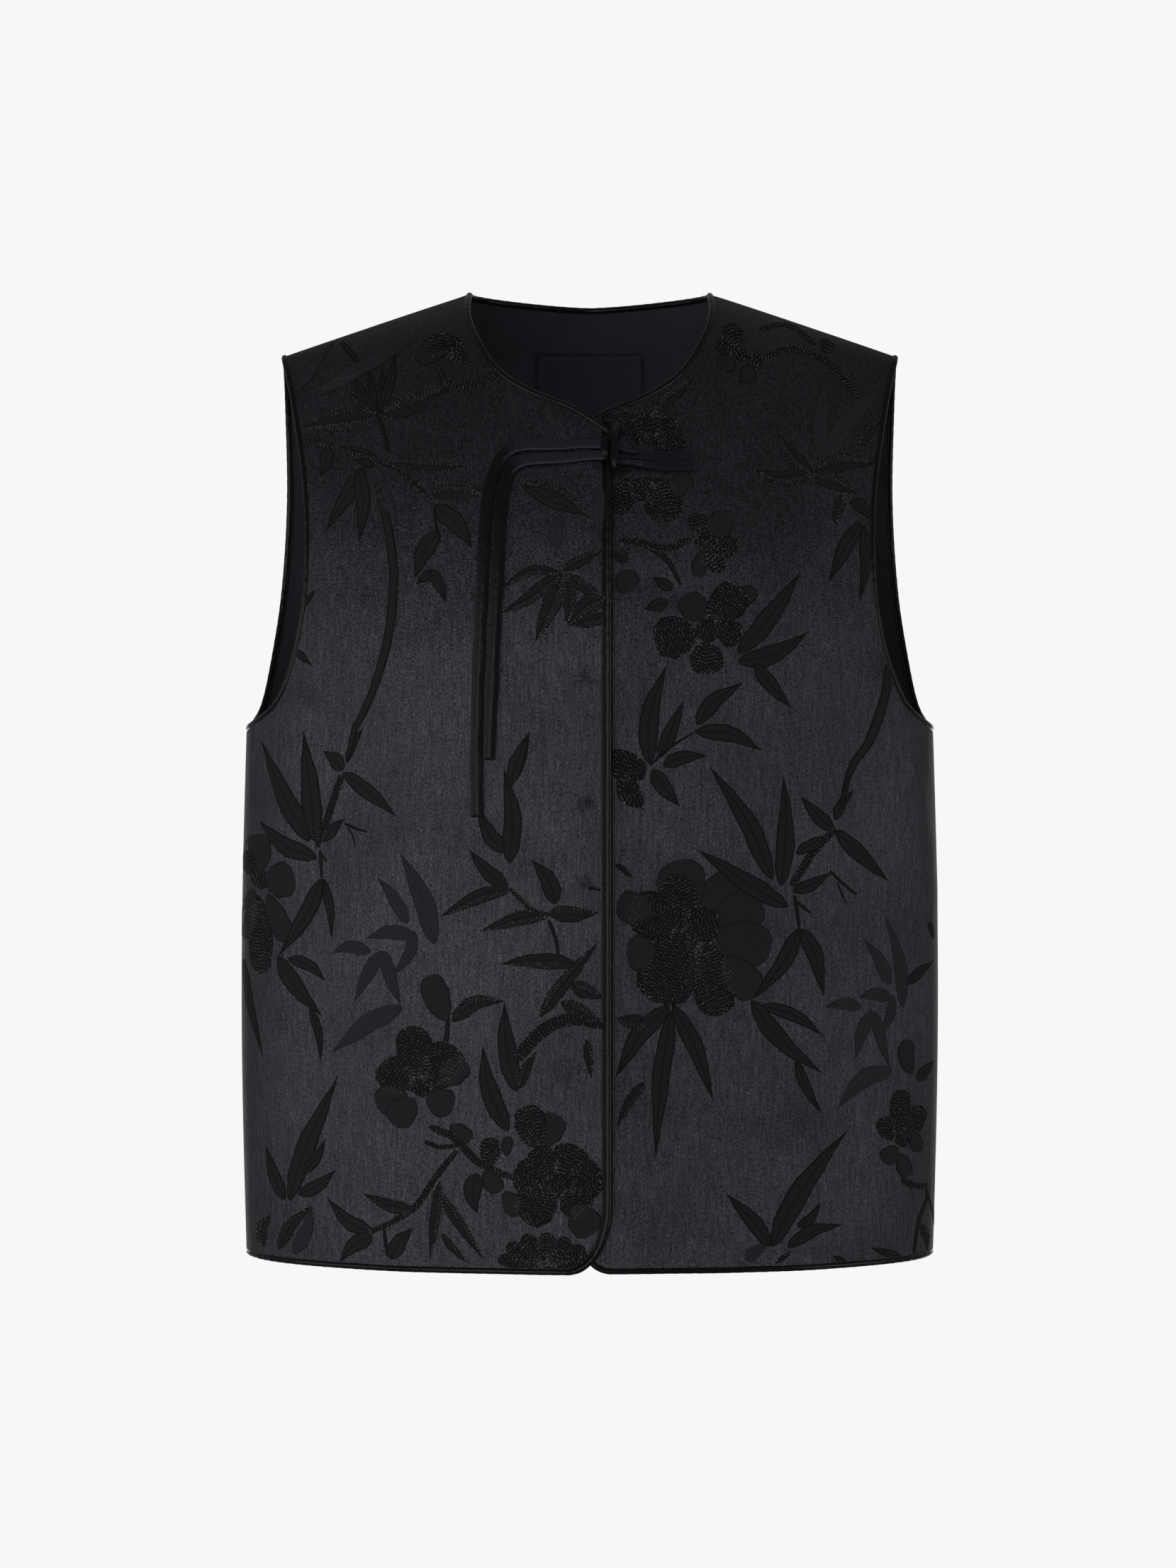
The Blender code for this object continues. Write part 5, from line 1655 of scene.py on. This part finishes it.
def dome(radius, z):
    """Half a sphere over the floor, its faces turned inwards: rings at equal angles up to the pole."""
    up = np.linspace(0.0, math.pi / 2, DOME_RINGS + 1)[:-1, None]
    turn = np.linspace(0.0, 2 * math.pi, DOME_SIDES, endpoint=False)[None]
    ring = np.stack(
        [radius * np.cos(up) * np.cos(turn), radius * np.cos(up) * np.sin(turn),
         z + radius * np.sin(up) * np.ones_like(turn)], axis=-1,
    ).reshape(-1, 3)
    faces = grid_faces(DOME_RINGS, DOME_SIDES, wrap=True)[:, ::-1].tolist()
    top = list(range(len(ring) - DOME_SIDES, len(ring)))
    return ring, [*faces, top[::-1]]


def paper_material(stage):
    """Pale studio paper that shines by itself, so that it looks the same near and far."""
    made, tree, principled = shader(
        "studio_paper", Roughness=0.9, Specular_IOR_Level=0.0, Base_Color=(0.0, 0.0, 0.0, 1.0),
        Emission_Strength=1.0,
    )
    shade = stretched_noise(tree, (700.0, 700.0, 700.0), 3.0)
    colour = mix_colour(tree, shade, opaque(stage.floor_colour, 0.99), opaque(stage.floor_colour))
    tree.links.new(colour, principled.inputs["Emission Color"])
    return made


class WAISTCOAT_OT_stage(bpy.types.Operator):
    """Sets up the camera, the pale floor and surround, and soft light."""

    bl_idname = "waistcoat.stage"
    bl_label = "Stage"

    def execute(self, context):
        scene = context.scene
        stage = scene.waistcoat_stage
        camera = bpy.data.objects.new("camera", bpy.data.cameras.new("camera"))
        camera.location = (stage.camera_side, -stage.camera_distance, stage.camera_height)
        camera.rotation_euler = (math.pi / 2, 0.0, 0.0)
        camera.data.sensor_width = 36.0
        camera.data.lens = stage.lens
        scene.collection.objects.link(camera)
        scene.camera = camera
        floor_z = HEM_Z - 2 * PIPING_RADIUS - stage.floor_drop
        paper = paper_material(stage)
        for name, points, faces in (
            ("floor", *disc(STAGE_REACH, floor_z)), ("surround", *dome(STAGE_REACH, floor_z)),
        ):
            mesh = bpy.data.meshes.new(name)
            mesh.from_pydata(points, [], faces)
            mesh.materials.append(paper)
            made = bpy.data.objects.new(name, mesh)
            made.visible_diffuse = made.visible_glossy = made.visible_shadow = False
            scene.collection.objects.link(made)
        world = bpy.data.worlds.new("surround")
        world.use_nodes = True
        background = world.node_tree.nodes["Background"]
        background.inputs["Color"].default_value = (1.0, 1.0, 1.0, 1.0)
        background.inputs["Strength"].default_value = stage.fill
        scene.world = world
        lamps = (
            # name, place, aim, width, height, power
            ("front_light", (-1.0, -2.95, -0.59), (0.0, 0.0, -0.59), 1.8, 2.1, stage.key_power),
            ("right_light", (-2.9, -1.3, -0.51), (0.0, 0.0, -0.51), 2.6, 2.1, stage.right_power),
            ("left_light", (2.9, -1.3, -0.54), (0.0, 0.0, -0.54), 2.6, 2.1, stage.left_power),
            ("back_light", (0.0, 3.1, -0.88), (0.0, 0.0, -0.60), 3.0, 1.6, stage.back_power),
        )
        for name, place, aim, width, height, power in lamps:
            light = bpy.data.lights.new(name, "AREA")
            light.shape = "RECTANGLE"
            light.size, light.size_y = width, height
            light.energy = power
            lamp = bpy.data.objects.new(name, light)
            lamp.location = place
            facing = Vector(aim) - Vector(place)
            lamp.rotation_euler = facing.to_track_quat("-Z", "Y").to_euler()
            scene.collection.objects.link(lamp)
        scene.view_settings.view_transform = "Standard"
        return {"FINISHED"}


class WAISTCOAT_PT_sidebar(bpy.types.Panel):
    """Lists the steps that dress the waistcoat."""

    bl_idname = "WAISTCOAT_PT_sidebar"
    bl_label = "Waistcoat"
    bl_space_type = "VIEW_3D"
    bl_region_type = "UI"
    bl_category = "Waistcoat"

    def draw(self, context):
        for operator in OPERATORS:
            self.layout.operator(operator.bl_idname)
        for group in (context.scene.waistcoat_finish, context.scene.waistcoat_stage):
            for key in group.bl_rna.properties.keys():
                if key not in ("name", "rna_type"):
                    self.layout.prop(group, key)


OPERATORS = (
    WAISTCOAT_OT_stage,
    WAISTCOAT_OT_ties,
    WAISTCOAT_OT_fronts,
    WAISTCOAT_OT_back,
    WAISTCOAT_OT_figures,
    WAISTCOAT_OT_piping,
    WAISTCOAT_OT_label,
)
CLASSES = (WaistcoatFinish, WaistcoatStage, *OPERATORS, WAISTCOAT_PT_sidebar)


def register():
    """Registers the classes, and the scene's two groups of properties."""
    for each in CLASSES:
        bpy.utils.register_class(each)
    bpy.types.Scene.waistcoat_finish = bpy.props.PointerProperty(type=WaistcoatFinish)
    bpy.types.Scene.waistcoat_stage = bpy.props.PointerProperty(type=WaistcoatStage)


def unregister():
    """Takes away what register added."""
    del bpy.types.Scene.waistcoat_stage
    del bpy.types.Scene.waistcoat_finish
    for each in reversed(CLASSES):
        bpy.utils.unregister_class(each)


def main():
    register()
    for operator in OPERATORS:
        group, name = operator.bl_idname.split(".")
        getattr(getattr(bpy.ops, group), name)()


if __name__ == "__main__":
    main()
